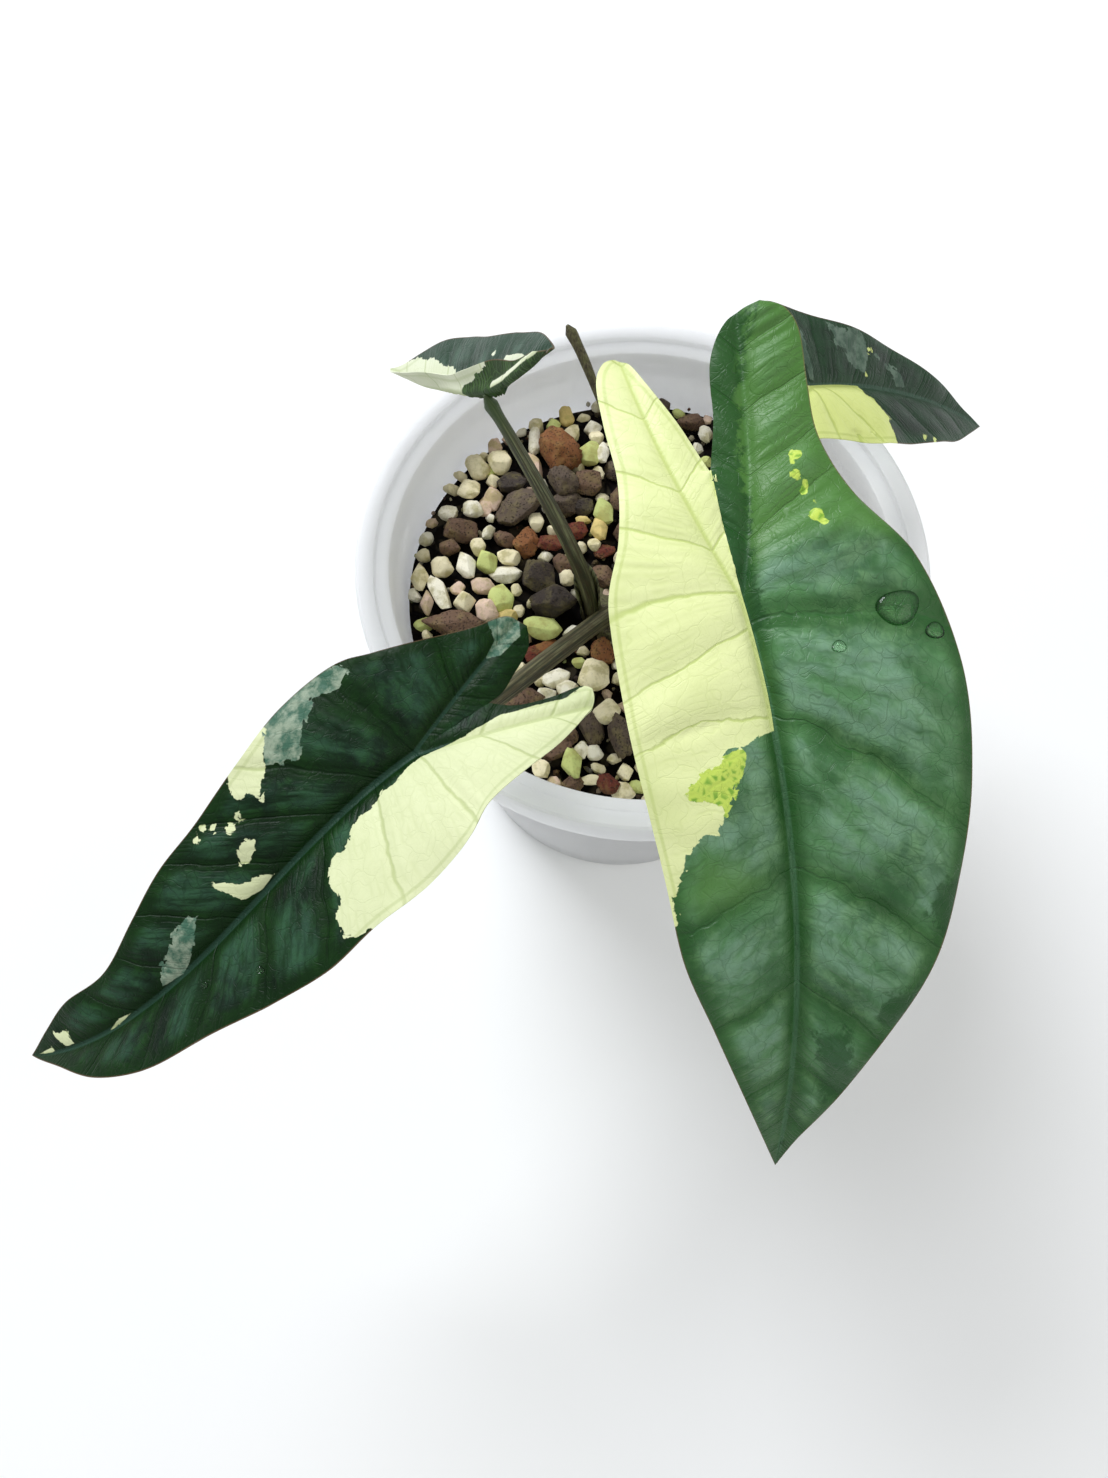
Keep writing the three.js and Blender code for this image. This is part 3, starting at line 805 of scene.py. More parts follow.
@dataclass
class Leaf:
    """A blade on its stalk. Its numbers repeat the frame's own, and its relief and colours are finer."""

    name: str
    joint: Sequence[float]
    heading: float
    turn: float
    turn_rate: float
    lobe_turn: float
    pitch: float
    droop: float
    lobe_droop: float
    roll: float
    twist: float
    midrib: Sequence[float]
    right: Half
    left: Half
    stalk: Stalk
    finish: LeafFinish
    markings: Sequence[Marking]
    rows: int = 200
    columns: int = 52
    thickness: float = 0.5
    keel: float = 1.3
    wave: float = 0.5
    wave_length: float = 34.0

    def half(self, side: Side) -> Half:
        """The half on a side."""
        return self.right if side is Side.RIGHT else self.left

    def direction(self, along: Array) -> Array:
        """The midrib's direction at distances along it."""
        behind = along < 0
        pitch = np.radians(self.pitch - np.where(behind, self.lobe_droop, self.droop) * along)
        turn = np.where(behind, self.lobe_turn, self.turn + self.turn_rate * along)
        heading = np.radians(self.heading + turn * along)
        level = np.cos(pitch)
        return np.stack([level * np.cos(heading), level * np.sin(heading), np.sin(pitch)], axis=1)

    def midrib_frame(self, along: Array) -> tuple[Array, Array, Array]:
        """The midrib's places, with the blade's right and upward directions there."""
        steps = 24
        point = np.tile(np.array(self.joint, float), (len(along), 1))
        for step in range(steps):
            point += self.direction(along * (step + 0.5) / steps) * (along / steps)[:, None]
        ahead = self.direction(along)
        level = np.stack([ahead[:, 1], -ahead[:, 0], np.zeros(len(along))], axis=1)
        level /= np.linalg.norm(level, axis=1)[:, None]
        above = np.cross(level, ahead)
        roll = np.radians(self.roll + self.twist * along)
        cos, sin = np.cos(roll)[:, None], np.sin(roll)[:, None]
        return point, level * cos + above * sin, above * cos - level * sin

    def surface(self, side: Side, along: Array, out: Array) -> Array:
        """Places on the blade's upper side, from flat places.

        Args:
            side: The half of the blade.
            along: Distances along the midrib.
            out: Distances out from it.

        Returns:
            The places, from the rim's centre.
        """
        half = self.half(side)
        point, right, up = self.midrib_frame(along)
        fold = np.radians(half.fold - half.flatten * np.maximum(0, along))
        arch = math.radians(half.arch)
        angle = fold - arch * out
        beyond = np.maximum(0, self.midrib[-1] - along)
        sideways = side.value * (np.sin(fold) - np.sin(angle)) / arch
        rise = (np.cos(angle) - np.cos(fold)) / arch + half.lift * beyond**2
        return point + right * sideways[:, None] + up * rise[:, None]

    def side_veins(self, half: Half, along: Array, out: Array) -> tuple[Array, Array, Array]:
        """Counts the side veins.

        Args:
            half: The half of the blade.
            along: Distances along the midrib.
            out: Distances out from it.

        Returns:
            The count of side veins up to each place, the distance from the rib that they grow from, and
            the spacing of the veins there.
        """
        feet, lean, bend = (np.array(column, float) for column in zip(*half.veins))
        behind = np.maximum(0, -along)
        off = out - half.basal[0] * behind - half.basal[1] * behind**2
        reach = np.abs(off)
        foot = along.copy()
        for _ in range(30):
            leaning = np.where(off < 0, -0.9, np.interp(foot, feet, lean))
            target = along - leaning * reach - np.interp(foot, feet, bend) * reach**2
            foot = 0.5 * (foot + target)
        numbers = np.arange(len(feet), dtype=float)
        count = np.interp(foot, feet, numbers)
        count += np.minimum(0, foot - feet[0]) / 10 + np.maximum(0, foot - feet[-1]) / 8
        gaps = np.gradient(feet)
        return count, off, np.interp(foot, feet, gaps)

    def relief(self, half: Half, along: Array, out: Array, edge: Array) -> tuple[Array, Array, Array]:
        """Works out the quilting between the veins.

        Args:
            half: The half of the blade.
            along: Distances along the midrib.
            out: Distances out from it.
            edge: Distances in from the margin.

        Returns:
            The height of the relief in millimetres, the vein vector that the finish reads, and the
            distance from the rib.
        """
        count, off, spacing = self.side_veins(half, along, out)
        near = np.abs(count - np.rint(count)) * spacing
        inner = 1 - np.exp(-np.abs(off) / 4.0)
        fade = inner * (1 - np.exp(-edge / 2.5))
        swell = half.quilt * (1 - np.exp(-((near / 4.2) ** 2))) * fade
        groove = -0.34 * np.exp(-((near / 0.8) ** 2)) * fade
        channel = -0.55 * np.exp(-((off / 1.1) ** 2)) - 0.35 * np.exp(-((off / 2.8) ** 2))
        tipward = np.clip(along / self.midrib[0], 0, 1)
        channel *= 1 - 0.7 * tipward
        wrinkle = 0.13 * half.quilt * np.sin(2 * math.pi * count * 5 + 1.3 * np.sin(out * 0.35)) * fade
        undulate = self.wave * np.sin(2 * math.pi * along / self.wave_length + half.fold)
        undulate = undulate * np.exp(-edge / 5.0)
        height = (swell + groove + channel + wrinkle) * (1 - tipward**8) + undulate * (1 - tipward**3)
        return height, np.stack([count, np.abs(off), spacing], axis=1), off

    def build_half(self, side: Side) -> bpy.types.Object:
        """Shapes one half of the blade's upper surface and stores what its finish reads."""
        half = self.half(side)
        piece, across, along = sheet(f"{self.name}_{side.name.lower()}", self.columns, self.rows)
        rib = along * (len(half.margin) - 1)
        last = len(self.midrib) - 1
        midrib = curve_through([[stop, 0.0] for stop in self.midrib], np.minimum(rib, last))
        sinus = curve_through([[self.midrib[-1], 0.0], *half.sinus], np.maximum(rib - last, 0))
        inner = np.where((rib <= last)[:, None], midrib, sinus)
        outer = curve_through(half.margin, rib)
        share = (across * (0.35 + 0.65 * across))[:, None]
        flat = inner + (outer - inner) * share
        flat[:, 1] = np.maximum(0, flat[:, 1])
        width = np.linalg.norm(outer - inner, axis=1)
        edge = width * (1 - share[:, 0])
        edge = np.where(rib > last, np.minimum(edge, width * share[:, 0] + 0.2), edge)
        edge = np.minimum(edge, np.hypot(self.midrib[0] - flat[:, 0], flat[:, 1]))
        height, vein_vector, off = self.relief(half, flat[:, 0], flat[:, 1], edge)
        move_vertices(piece, self.surface(side, flat[:, 0], flat[:, 1]) * MM)
        signed = flat[:, 1] * side.value
        write_attribute(piece, "flat", np.stack([flat[:, 0], signed, np.zeros(len(rib))], axis=1))
        write_attribute(piece, "rib", vein_vector)
        write_attribute(piece, "off_rib", off)
        write_attribute(piece, "edge", edge)
        write_attribute(piece, "height", height)
        for kind in Patch:
            depth = np.full(len(rib), OUTSIDE)
            for marking in self.markings:
                if marking.kind is kind:
                    reach = marking.depth(flat[:, 0], flat[:, 1])
                    on_rib = flat[:, 1] < 0.001
                    reach = reach if marking.side is side else np.where(on_rib, reach, OUTSIDE)
                    depth = np.maximum(depth, reach)
            write_attribute(piece, kind.value, np.clip(depth, OUTSIDE, -OUTSIDE))
        if side is Side.RIGHT:
            edit_mesh(piece, lambda: bpy.ops.mesh.flip_normals())
        return piece

    def build(self) -> bpy.types.Object:
        """Makes the whole blade as one thin closed body.

        Returns:
            The blade.
        """
        piece = join([self.build_half(side) for side in Side], f"blade_{self.name}")
        edit_mesh(piece, lambda: bpy.ops.mesh.remove_doubles(threshold=0.000015))
        places = vertex_places(piece) + np.array((0.0, 0.0, POT_HEIGHT * MM))
        raised = places + vertex_normals(piece) * read_attribute(piece, "height")[:, None] * MM
        move_vertices(piece, raised)
        normals = vertex_normals(piece)
        top = len(raised)
        apply_modifier(piece, "SOLIDIFY", thickness=self.thickness * MM, offset=-1.0)
        along = read_attribute(piece, "flat", 3)[:top, 0]
        off = read_attribute(piece, "off_rib")[:top]
        edge = read_attribute(piece, "edge")[:top]
        tipward = np.clip(along / self.midrib[0], 0, 1)
        depth = self.thickness * (0.5 + 0.5 * (1 - np.exp(-edge / 1.2)))
        lobe = np.where(along < 0, np.clip(1 + along / 40, 0.2, 1), 1.0)
        depth += self.keel * (1 - tipward) ** 0.7 * lobe * np.exp(-((off / 1.0) ** 2))
        full = vertex_places(piece)
        full[top : 2 * top] = raised - normals * depth[:, None] * MM
        move_vertices(piece, full)
        under = np.zeros(len(full))
        under[top:] = 1.0
        write_attribute(piece, "under", under)
        smooth(piece, 75)
        return piece

    def seat_stalk(self) -> None:
        """Brings the stalk's end up under the blade's keel."""
        point, _, up = self.midrib_frame(np.zeros(1))
        reach = Vector(self.stalk.reach)
        up_way = Vector(up[0])
        tilt = math.sin(up_way.angle(reach))
        depth = 1.0 + self.keel + self.stalk.radii[-1] * tilt
        self.stalk.end = Vector(point[0]) - up_way * depth


def curve_through(stops: Places, position: Array) -> Array:
    """Reads a smooth curve through evenly counted stops at fractional stop numbers."""
    points = np.array(stops, float)
    last = len(points) - 1
    index = np.clip(np.floor(position).astype(int), 0, last - 1)
    f = (position - index)[:, None]
    a, b, c, d = (points[np.clip(index + step, 0, last)] for step in (-1, 0, 1, 2))
    enter, leave = (c - a) / 2, (d - b) / 2
    return (2 * b - 2 * c + enter + leave) * f**3 + (3 * c - 3 * b - 2 * enter - leave) * f**2 + enter * f + b


# The four leaves.

FRONT = Leaf(
    name="front", joint=(10.5, -42.6, 60), heading=-74.5, turn=-0.17, turn_rate=0, lobe_turn=0.35,
    pitch=-12, droop=0.42, lobe_droop=0.4, roll=0, twist=0,
    midrib=(110, 90, 74, 60, 46, 32, 18, 5, -6, -14, -22.5),
    right=Half(
        fold=16, arch=1.5, lift=0,
        margin=((110, 0), (100, 4), (88, 8.8), (75, 14), (61, 19), (47, 21.2), (32, 22.8), (14, 23.6),
                (-2, 22.2), (-12, 17.8), (-22, 16), (-32, 17), (-39.5, 17.6), (-43.2, 16.4), (-44.4, 14.2)),
        sinus=((-31, 4), (-39.5, 9.4), (-43.4, 12), (-44.4, 14.2)), basal=(0.3, 0),
        veins=((-33, -0.5, 0), (-19, -0.5, 0), (-8, -0.5, 0), (-0.7, -0.2, 0.008), (5.2, 0.3, 0.002),
               (20, -0.2, 0.012), (46, 0.3, 0.01), (66, 0.5, 0.008), (84, 0.6, 0.006), (96, 0.7, 0.006)),
        quilt=0.7),
    left=Half(
        fold=14, arch=0.55, lift=0.012,
        margin=((110, 0), (100, 3), (88, 9), (75, 15.5), (61, 23), (48, 27), (34, 29.8), (18, 31.8),
                (1, 28.5), (-13, 22), (-25, 18.4), (-35, 17.6), (-43.6, 16.8), (-47.7, 14.2), (-49, 10)),
        sinus=((-31, 1.7), (-41, 1.8), (-46.8, 4.6), (-49, 10)), basal=(0.42, -0.0062),
        veins=((-32, -0.5, 0), (-20, -0.6, 0), (-9, -0.7, 0), (4.4, 0.1, 0.004), (19.7, 0.58, 0.007),
               (46, 0.3, 0.015), (66, 0.7, 0.008), (82, 0.8, 0.006), (95, 0.8, 0.006)),
        quilt=1.7),
    stalk=Stalk("petiole_front", (0.3, -10.3), (2, -6, 24), (1.5, -7, 22), (2.7, 2.4, 1.7), bury=1.3),
    finish=LeafFinish(
        "front_blade_finish", dark="2c5a2c", mid="4d8048", light="6f9c62", silver="7da08a", rim="1f4f1b",
        fresh="56863b", lightness=0.62, sheen_and_silver=0.64, gloss=0.38, shine=0.3),
    markings=(
        Marking(Patch.CREAM, Side.RIGHT, (
            (22, -8), (23, 3), (24.4, 5.8), (24.2, 8.6), (26, 10.2), (27.5, 13.7), (30.5, 17), (33.2, 11),
            (37.7, 12), (37.3, 14.3), (39.5, 17.2), (43, 18), (46.7, 20.3), (53, 19.8), (56, 24),
            (30, 30), (-60, 30), (-60, -8))),
        Marking(Patch.LIME, Side.RIGHT, (
            (23.6, 5.5), (27.4, 6.6), (31, 8.6), (34.5, 10.6), (31, 19), (26.3, 15), (24.6, 10))),
        Marking(Patch.FRESH, Side.RIGHT, (
            (42.7, 17.2), (39.8, 14.6), (42.8, 8.3), (46.3, 5.7), (50, 9.7), (51.1, 16.3), (48.2, 18.7))),
        Marking(Patch.FRESH, Side.LEFT, (
            (-4, 3), (-6, 14), (-2, 26), (-10, 32), (-56, 26), (-56, 0), (-20, -1))),
        # Partly painted shade: the lobe's inner edge darkens where it turns away from the light; partly the
        # blade's own deep green.
        Marking(Patch.DEEP, Side.LEFT, (
            (-49, -1), (-48, 9), (-44, 7.6), (-36, 6.2), (-24, 5.2), (-12, 4.4), (-4, 3), (6, 2), (6, -1))),
        Marking(Patch.DEEP, Side.LEFT, (
            (49, 21.6), (49.5, 27), (60, 27), (57, 23), (54, 21))),
        Marking(Patch.DEEP, Side.LEFT, (
            (67.4, 14.3), (66.3, 20), (74, 20), (72, 13.7))),
        Marking(Patch.DEEP, Side.LEFT, (
            (75, 3.2), (74, 8), (79.7, 9.4), (86, 12), (90, 6), (84, 4.8))),
        *(Marking(Patch.LIME, Side.LEFT, (spot,), fleck=size)
          for spot, size in (((-22, 14), 1.1), ((-20.5, 13.2), 0.5), ((-18, 13.2), 0.9), ((-16.4, 14.6), 0.6),
                             ((-15, 14), 0.7), ((-12.5, 15.2), 0.5), ((-10, 14.7), 1.2),
                             ((-8.2, 15.6), 0.6))),
    ),
)

LEFT = Leaf(
    name="left", joint=(-45.5, -58.9, 30), heading=214, turn=0.645, turn_rate=-0.01, lobe_turn=0,
    pitch=-8, droop=0.25, lobe_droop=0.3, roll=0, twist=0,
    midrib=(101.5, 88, 75, 62, 49, 36, 24, 13, 3, -7, -16.5),
    right=Half(
        fold=22, arch=0.9, lift=0,
        margin=((101.5, 0), (95, 4.6), (86, 8.6), (73, 9.6), (60, 13.4), (48, 16.8), (36, 17.8), (24, 19.6),
                (13, 22), (3, 22.2), (-4, 19.6), (-13, 16.4), (-21, 13.8), (-28, 12.2), (-30.3, 8.6)),
        sinus=((-19.6, 0.3), (-23, 1.9), (-28.2, 4.8), (-30.3, 8.6)), basal=(0.35, 0),
        veins=((-24, -0.6, 0), (-12, -0.3, 0), (0, 0.2, 0.002), (8, 0.8, 0.004), (17, 1.1, 0.004),
               (30, 0.9, 0.006), (44, 0.9, 0.006), (58, 0.9, 0.006), (72, 0.9, 0.006), (86, 0.9, 0.006)),
        quilt=0.9),
    left=Half(
        fold=22, arch=0.9, lift=0,
        margin=((101.5, 0), (92, 3), (82, 8), (71, 11.6), (59, 13.8), (47, 17.6), (36, 20.8), (25, 21.6),
                (13, 22.8), (1, 21.2), (-6, 17.8), (-15, 16.3), (-23, 15.2), (-31, 12.4), (-33, 9.6)),
        sinus=((-20, 3.6), (-25.5, 6), (-31.4, 7.7), (-33, 9.6)), basal=(0.4, 0),
        veins=((-24, -0.8, 0), (-12, -0.6, 0), (0, -0.25, 0.004), (9.5, 0.35, 0.004), (22, 0.6, 0.004),
               (36, 0.7, 0.004), (50, 0.8, 0.004), (64, 0.8, 0.004), (78, 0.9, 0.004), (90, 0.9, 0.004)),
        quilt=0.4),
    stalk=Stalk("petiole_left", (-6, -8.4), (-4, -7, 11), (-10, -13, 11), (2.5, 2.4, 1.8)),
    finish=LeafFinish(
        "left_blade_finish", dark="07180a", mid="143410", light="235018", silver="48705c",
        rim="0e2c0c", cream="e2e8ba", cream_vein="bdc88e", lightness=0.5, sheen_and_silver=0.4,
        gloss=0.42, shine=0.13, rib_line="2c4a3c"),
    markings=(
        Marking(Patch.CREAM, Side.LEFT, (
            (-0.5, 1.2), (3, 2.1), (5.7, 3.1), (8.9, 2.4), (10.9, 3.8), (14.5, 3.5), (17, 4.5), (19.5, 6.6),
            (23.6, 6.3), (26.7, 9.1), (26.7, 13.2), (29.3, 15.3), (30.5, 18.7), (28.1, 20.6), (26, 21.3),
            (25, 26), (-40, 26), (-36, 8), (-28, 8.2), (-25, 6.8), (-16.7, 3.8), (-10.6, 3.1), (-4.8, 2.1))),
        Marking(Patch.CREAM, Side.RIGHT, (
            (27, 18.6), (23, 24), (17, 24), (16.9, 20.6), (21.6, 14.9), (25.3, 11.4), (26.2, 13.9),
            (28, 14.6), (28.6, 16))),
        Marking(Patch.SILVER, Side.RIGHT, (
            (17, 23), (11, 24), (4, 24), (0.9, 19.6), (3.4, 18.1), (8.3, 19.2), (12.7, 15.2), (16.2, 12.3),
            (20.8, 15.8))),
        Marking(Patch.CREAM, Side.RIGHT, (
            (32.8, 9), (31.3, 7.4), (33, 6.3), (35.4, 5.6), (36.5, 6.3), (34.9, 8.3))),
        Marking(Patch.CREAM, Side.RIGHT, (
            (42.8, 8.6), (40.9, 6.7), (39.1, 4), (34.9, 2.4), (33.5, 0.8), (37.1, 0.5), (40.8, 1.7),
            (41.6, 4.7))),
        Marking(Patch.SILVER, Side.RIGHT, (
            (63.9, 0.8), (61.3, 3.9), (56.4, 5.1), (54.7, 6.7), (50.4, 6.7), (48.5, 5.9), (51.4, 4.5),
            (53.4, 2.5), (57, 0.6), (59.3, 0))),
        Marking(Patch.CREAM, Side.RIGHT, ((92.8, 3.9), (89, 3.6), (88.3, 0.6), (90.6, 0.7))),
        Marking(Patch.CREAM, Side.RIGHT, ((99.1, 0.2), (94.7, 1.2), (94, 0.2))),
        Marking(Patch.CREAM, Side.RIGHT, ((80, -0.3), (72.6, 0.5), (76, 0.9))),
        Marking(Patch.SILVER, Side.RIGHT, (
            (-20.7, 7.4), (-23.7, 9.3), (-24.7, 13.6), (-29, 12), (-29.8, 10.4), (-28.1, 7.6), (-23, 6.4))),
        *(Marking(Patch.CREAM, Side.RIGHT, (spot,), fleck=0.75)
          for spot in ((36.4, 16.1), (34.8, 14.5), (32.8, 12.3), (38.6, 15), (30, 12.5))),
    ),
)

REAR_RIGHT = Leaf(
    name="rear_right", joint=(33.4, 19.6, 34), heading=30.8, turn=-0.277, turn_rate=0, lobe_turn=0,
    pitch=-30, droop=0.2, lobe_droop=0.2, roll=-20, twist=0,
    midrib=(69, 58, 48, 38, 29, 20, 11, 3, -3),
    right=Half(
        fold=10, arch=0.5, lift=0,
        margin=((69, 0), (62, 4), (54, 8), (45, 10.2), (37, 11.8), (28, 13.1), (19, 13.8), (11, 14), (3, 13),
                (-7, 12.2), (-17, 12), (-23, 10)),
        sinus=((-10, 3), (-17, 6), (-23, 10)), basal=(0.4, 0),
        veins=((-14, -0.8, 0), (-6, -0.4, 0), (-0.5, 0, 0), (3, 0.95, 0), (14, 1.3, 0), (25, 1.6, 0),
               (38, 1.6, 0), (50, 1.6, 0)),
        quilt=0.35),
    left=Half(
        fold=10, arch=0.5, lift=0,
        margin=((69, 0), (64.5, 0.8), (59, 1.9), (51, 4.4), (42, 6.3), (33, 8.4), (24, 10.4), (15, 12.4),
                (6, 14.2), (-3, 16.2), (-10, 17.2), (-15, 14.5)),
        sinus=((-6, 5.5), (-10, 10), (-15, 14.5)), basal=(0.5, 0),
        veins=((-14, -1.2, 0), (-6, -0.8, 0), (-0.5, -0.5, 0), (3, 0, 0), (14, 0.3, 0), (25, 0.5, 0),
               (38, 0.6, 0), (50, 0.7, 0)),
        quilt=0.45),
    stalk=Stalk("petiole_rear_right", (0.6, -3.4), (6, 4, 18), (9, 5, 12), (2.4, 2.1, 1.4), bury=1.3),
    finish=LeafFinish(
        "rear_right_blade_finish", dark="0d2011", mid="203a22", light="34543a", silver="48604f",
        frost="6f8473", cream="e2ec93", cream_vein="bccb6a", rim="24462a", rib_line="3c5c48",
        lightness=0.5, sheen_and_silver=0.34, gloss=0.38, shine=0.25),
    markings=(
        Marking(Patch.CREAM, Side.RIGHT, (
            (13, -8), (16.5, 2), (18.6, 3.4), (20.4, 5.4), (22.5, 7.9), (21.2, 8.7), (21.4, 11),
            (21.8, 16), (-40, 20), (-40, -8))),
        Marking(Patch.SILVER, Side.LEFT, (
            (8.2, 13.4), (11.9, 11.4), (18, 11.8), (19.9, 8.7), (18.4, 2.8), (13, 4), (12.2, 7.1),
            (9.1, 8.1))),
        Marking(Patch.SILVER, Side.LEFT, (
            (22.2, 6.8), (27.9, 5.3), (31.6, 4.2), (33.3, 1.2), (30.5, 0.8), (27.6, 3.7))),
        Marking(Patch.SILVER, Side.LEFT, (
            (-5.4, 15), (-1.7, 12.9), (-0.2, 9.1), (-0.2, 4.9), (0.3, 0.8), (-0.9, 1.3), (-2.7, 7.1),
            (-5.2, 10.2))),
        Marking(Patch.CREAM, Side.LEFT, ((20.3, 7.7),), fleck=0.8),
        Marking(Patch.CREAM, Side.LEFT, ((18.9, 4.8), (18.3, 1.9), (18.8, 1.9))),
        Marking(Patch.CREAM, Side.RIGHT, ((36.1, 10.6),), fleck=0.7),
        Marking(Patch.CREAM, Side.RIGHT, ((40.7, 11),), fleck=0.7),
    ),
    rows=130, columns=36, keel=1.0, wave=0.4, wave_length=26,
)

REAR_LEFT = Leaf(
    name="rear_left", joint=(-32.1, 5.7, 50), heading=134.5, turn=-0.11, turn_rate=0, lobe_turn=-0.11,
    pitch=-42.4, droop=-0.263, lobe_droop=-0.892, roll=-31.2, twist=0.97,
    midrib=(43.5, 37, 30, 22, 13, 5, -2, -7),
    right=Half(
        fold=68, arch=1.6, flatten=0.98, lift=0,
        margin=((43.5, 0), (39.4, 1.7), (33.2, 5.7), (26, 9.4), (17.6, 11), (9.3, 10.8), (1, 11.8),
                (-7.5, 11.8), (-15.2, 8.6), (-17.6, 5.4)),
        sinus=((-13.6, 3.4), (-17.6, 5.4)), basal=(0.5, 0),
        veins=((-18, -0.4, 0), (-9, -0.2, 0), (-1, 0.2, 0), (8, 0.5, 0), (18, 0.5, 0), (28, 0.6, 0)),
        quilt=0.5),
    left=Half(
        fold=72, arch=1.0, flatten=0.68, lift=0,
        margin=((43.5, 0), (39.4, 1.8), (32, 4), (23.8, 4.8), (14.5, 3.1), (5.2, 4.3), (-5, 5.2), (-14, 3.7),
                (-21.5, 2.9), (-27.5, 1.2)),
        sinus=((-17, 0.6), (-27.5, 1.2)), basal=(0.1, 0),
        veins=((-18, -0.4, 0), (-9, -0.2, 0), (-1, 0.2, 0), (8, 0.5, 0), (18, 0.5, 0), (28, 0.6, 0)),
        quilt=0.2),
    stalk=Stalk("petiole_rear_left", (-11.3, -6.3), (-1, -1, 20), (-7, 3, 16), (2.5, 2.2, 1.4),
                slim=0.74, flare=0.35, bury=2.0, sheath=19, sheath_turn=180),
    finish=LeafFinish(
        "rear_left_blade_finish", dark="18301e", mid="2c4a37", light="42624d", silver="5f7869",
        cream="e2e6cc", cream_vein="c0ca9c", rim="2c4534", under="23380f", lightness=0.5, sheen_and_silver=0.5,
        gloss=0.4, shine=0.25),
    markings=(
        Marking(Patch.CREAM, Side.LEFT, (
            (13.5, -8), (7.6, 1), (4.1, 1.8), (2.1, 3.1), (-1.9, 4), (-2, 9), (60, 9), (60, -8))),
        Marking(Patch.CREAM, Side.LEFT, (
            (-3.5, 0.5), (-12, 1.5), (-17.5, 2.1), (-27, 2.1), (-27, 2.8), (-17.5, 2.9), (-12, 2.4),
            (-4, 1.4))),
        Marking(Patch.CREAM, Side.RIGHT, (
            (60, 9), (39, 2.6), (37.4, 2.9), (33.9, 4.3), (27.1, 4.7), (21.7, 4.2), (16.3, 3.6), (12, -8),
            (60, -8))),
        Marking(Patch.CREAM, Side.RIGHT, (
            (-1, 6.9), (-7.3, 6.9), (-10, 5.6), (-8.3, 4.4), (-4.4, 5), (-1, 5.6))),
        Marking(Patch.CREAM, Side.RIGHT, ((3.3, 7),), fleck=0.6),
    ),
    rows=110, columns=36, thickness=0.4, keel=0.35, wave=0.3, wave_length=20,
)

LEAVES = (FRONT, LEFT, REAR_RIGHT, REAR_LEFT)
DRY_STALK = Stalk(
    "dry_petiole", (-3.5, -0.5), (2, 8, 18), (-8, 6, 14),
    (1.3, 0.8, 0.75, 0.7, 0.65, 0.55, 0.55, 1.05, 1.25, 1.05),
    end=Vector((-16.8, 28, 40)), bury=1.2, blunt=0.3)


# Stalks, stem and pot.


@dataclass(frozen=True)
class StalkFinish:
    """The colours of the living stalks."""

    name: str
    dark: str = "2f331d"
    pale: str = "83875f"
    red: str = "453823"
    tip: str = "2f4a1a"

    def material(self, effects: SharedEffects) -> bpy.types.Material:
        """Mixes a mottled skin with pale lengthwise lines."""
        material, shader, surface = new_material(self.name)
        way = shader.attribute("way", "Vector")
        mottle = shader.group(effects.mottle, place=shader.stretch(way, (2.4, 2.4, 0.8)))
        lines = shader.noise(shader.stretch(way, (1.9, 1.9, 0.04)), 1.0, 4.0)
        colour = shader.mix(shader.span(lines, 0.42, 0.62), self.dark, self.pale)
        colour = shader.mix(shader.times(mottle.outputs["Blotch"], 0.6), colour, self.red)
        colour = shader.mix(shader.times(mottle.outputs["Speck"], 0.5), colour, self.pale)
        near_tip = shader.span(shader.attribute("reach"), 2.0, 16.0, 0.85, 0.0)
        colour = shader.mix(near_tip, colour, self.tip)
        shader.feed(surface.inputs["Base Color"], colour)
        shader.feed(surface.inputs["Roughness"], shader.span(lines, 0.3, 0.7, 0.4, 0.55))
        fine = shader.noise(shader.stretch(way, (4.0, 4.0, 0.3)), 1.0, 4.0)
        shader.feed(surface.inputs["Normal"], shader.bump(fine, 0.5, 0.2))
        return material


@dataclass(frozen=True)
class DryFinish:
    """The colours of dry papery tissue."""

    name: str
    base: str = "6b654a"
    stain: str = "3f3424"
    light: str = "8f8660"
    olive: str = "6d7040"

    def material(self, effects: SharedEffects) -> bpy.types.Material:
        """Mixes wrinkled brown tissue."""
        material, shader, surface = new_material(self.name)
        place = shader.millimetres()
        mottle = shader.group(effects.mottle, place=shader.stretch(place, (2.2, 2.2, 0.7)))
        fibres = shader.noise(shader.stretch(place, (2.2, 2.2, 0.14)), 1.0, 5.0, 0.6)
        colour = shader.mix(shader.span(fibres, 0.36, 0.64), self.stain, self.base)
        colour = shader.mix(shader.span(fibres, 0.58, 0.8, 0.0, 0.8), colour, self.light)
        colour = shader.mix(shader.times(mottle.outputs["Blotch"], 0.45), colour, self.olive)
        shader.feed(surface.inputs["Base Color"], colour)
        shader.feed(surface.inputs["Roughness"], shader.span(fibres, 0.2, 0.8, 0.62, 0.85))
        shader.feed(surface.inputs["Normal"], shader.bump(fibres, 0.8, 0.4))
        return material


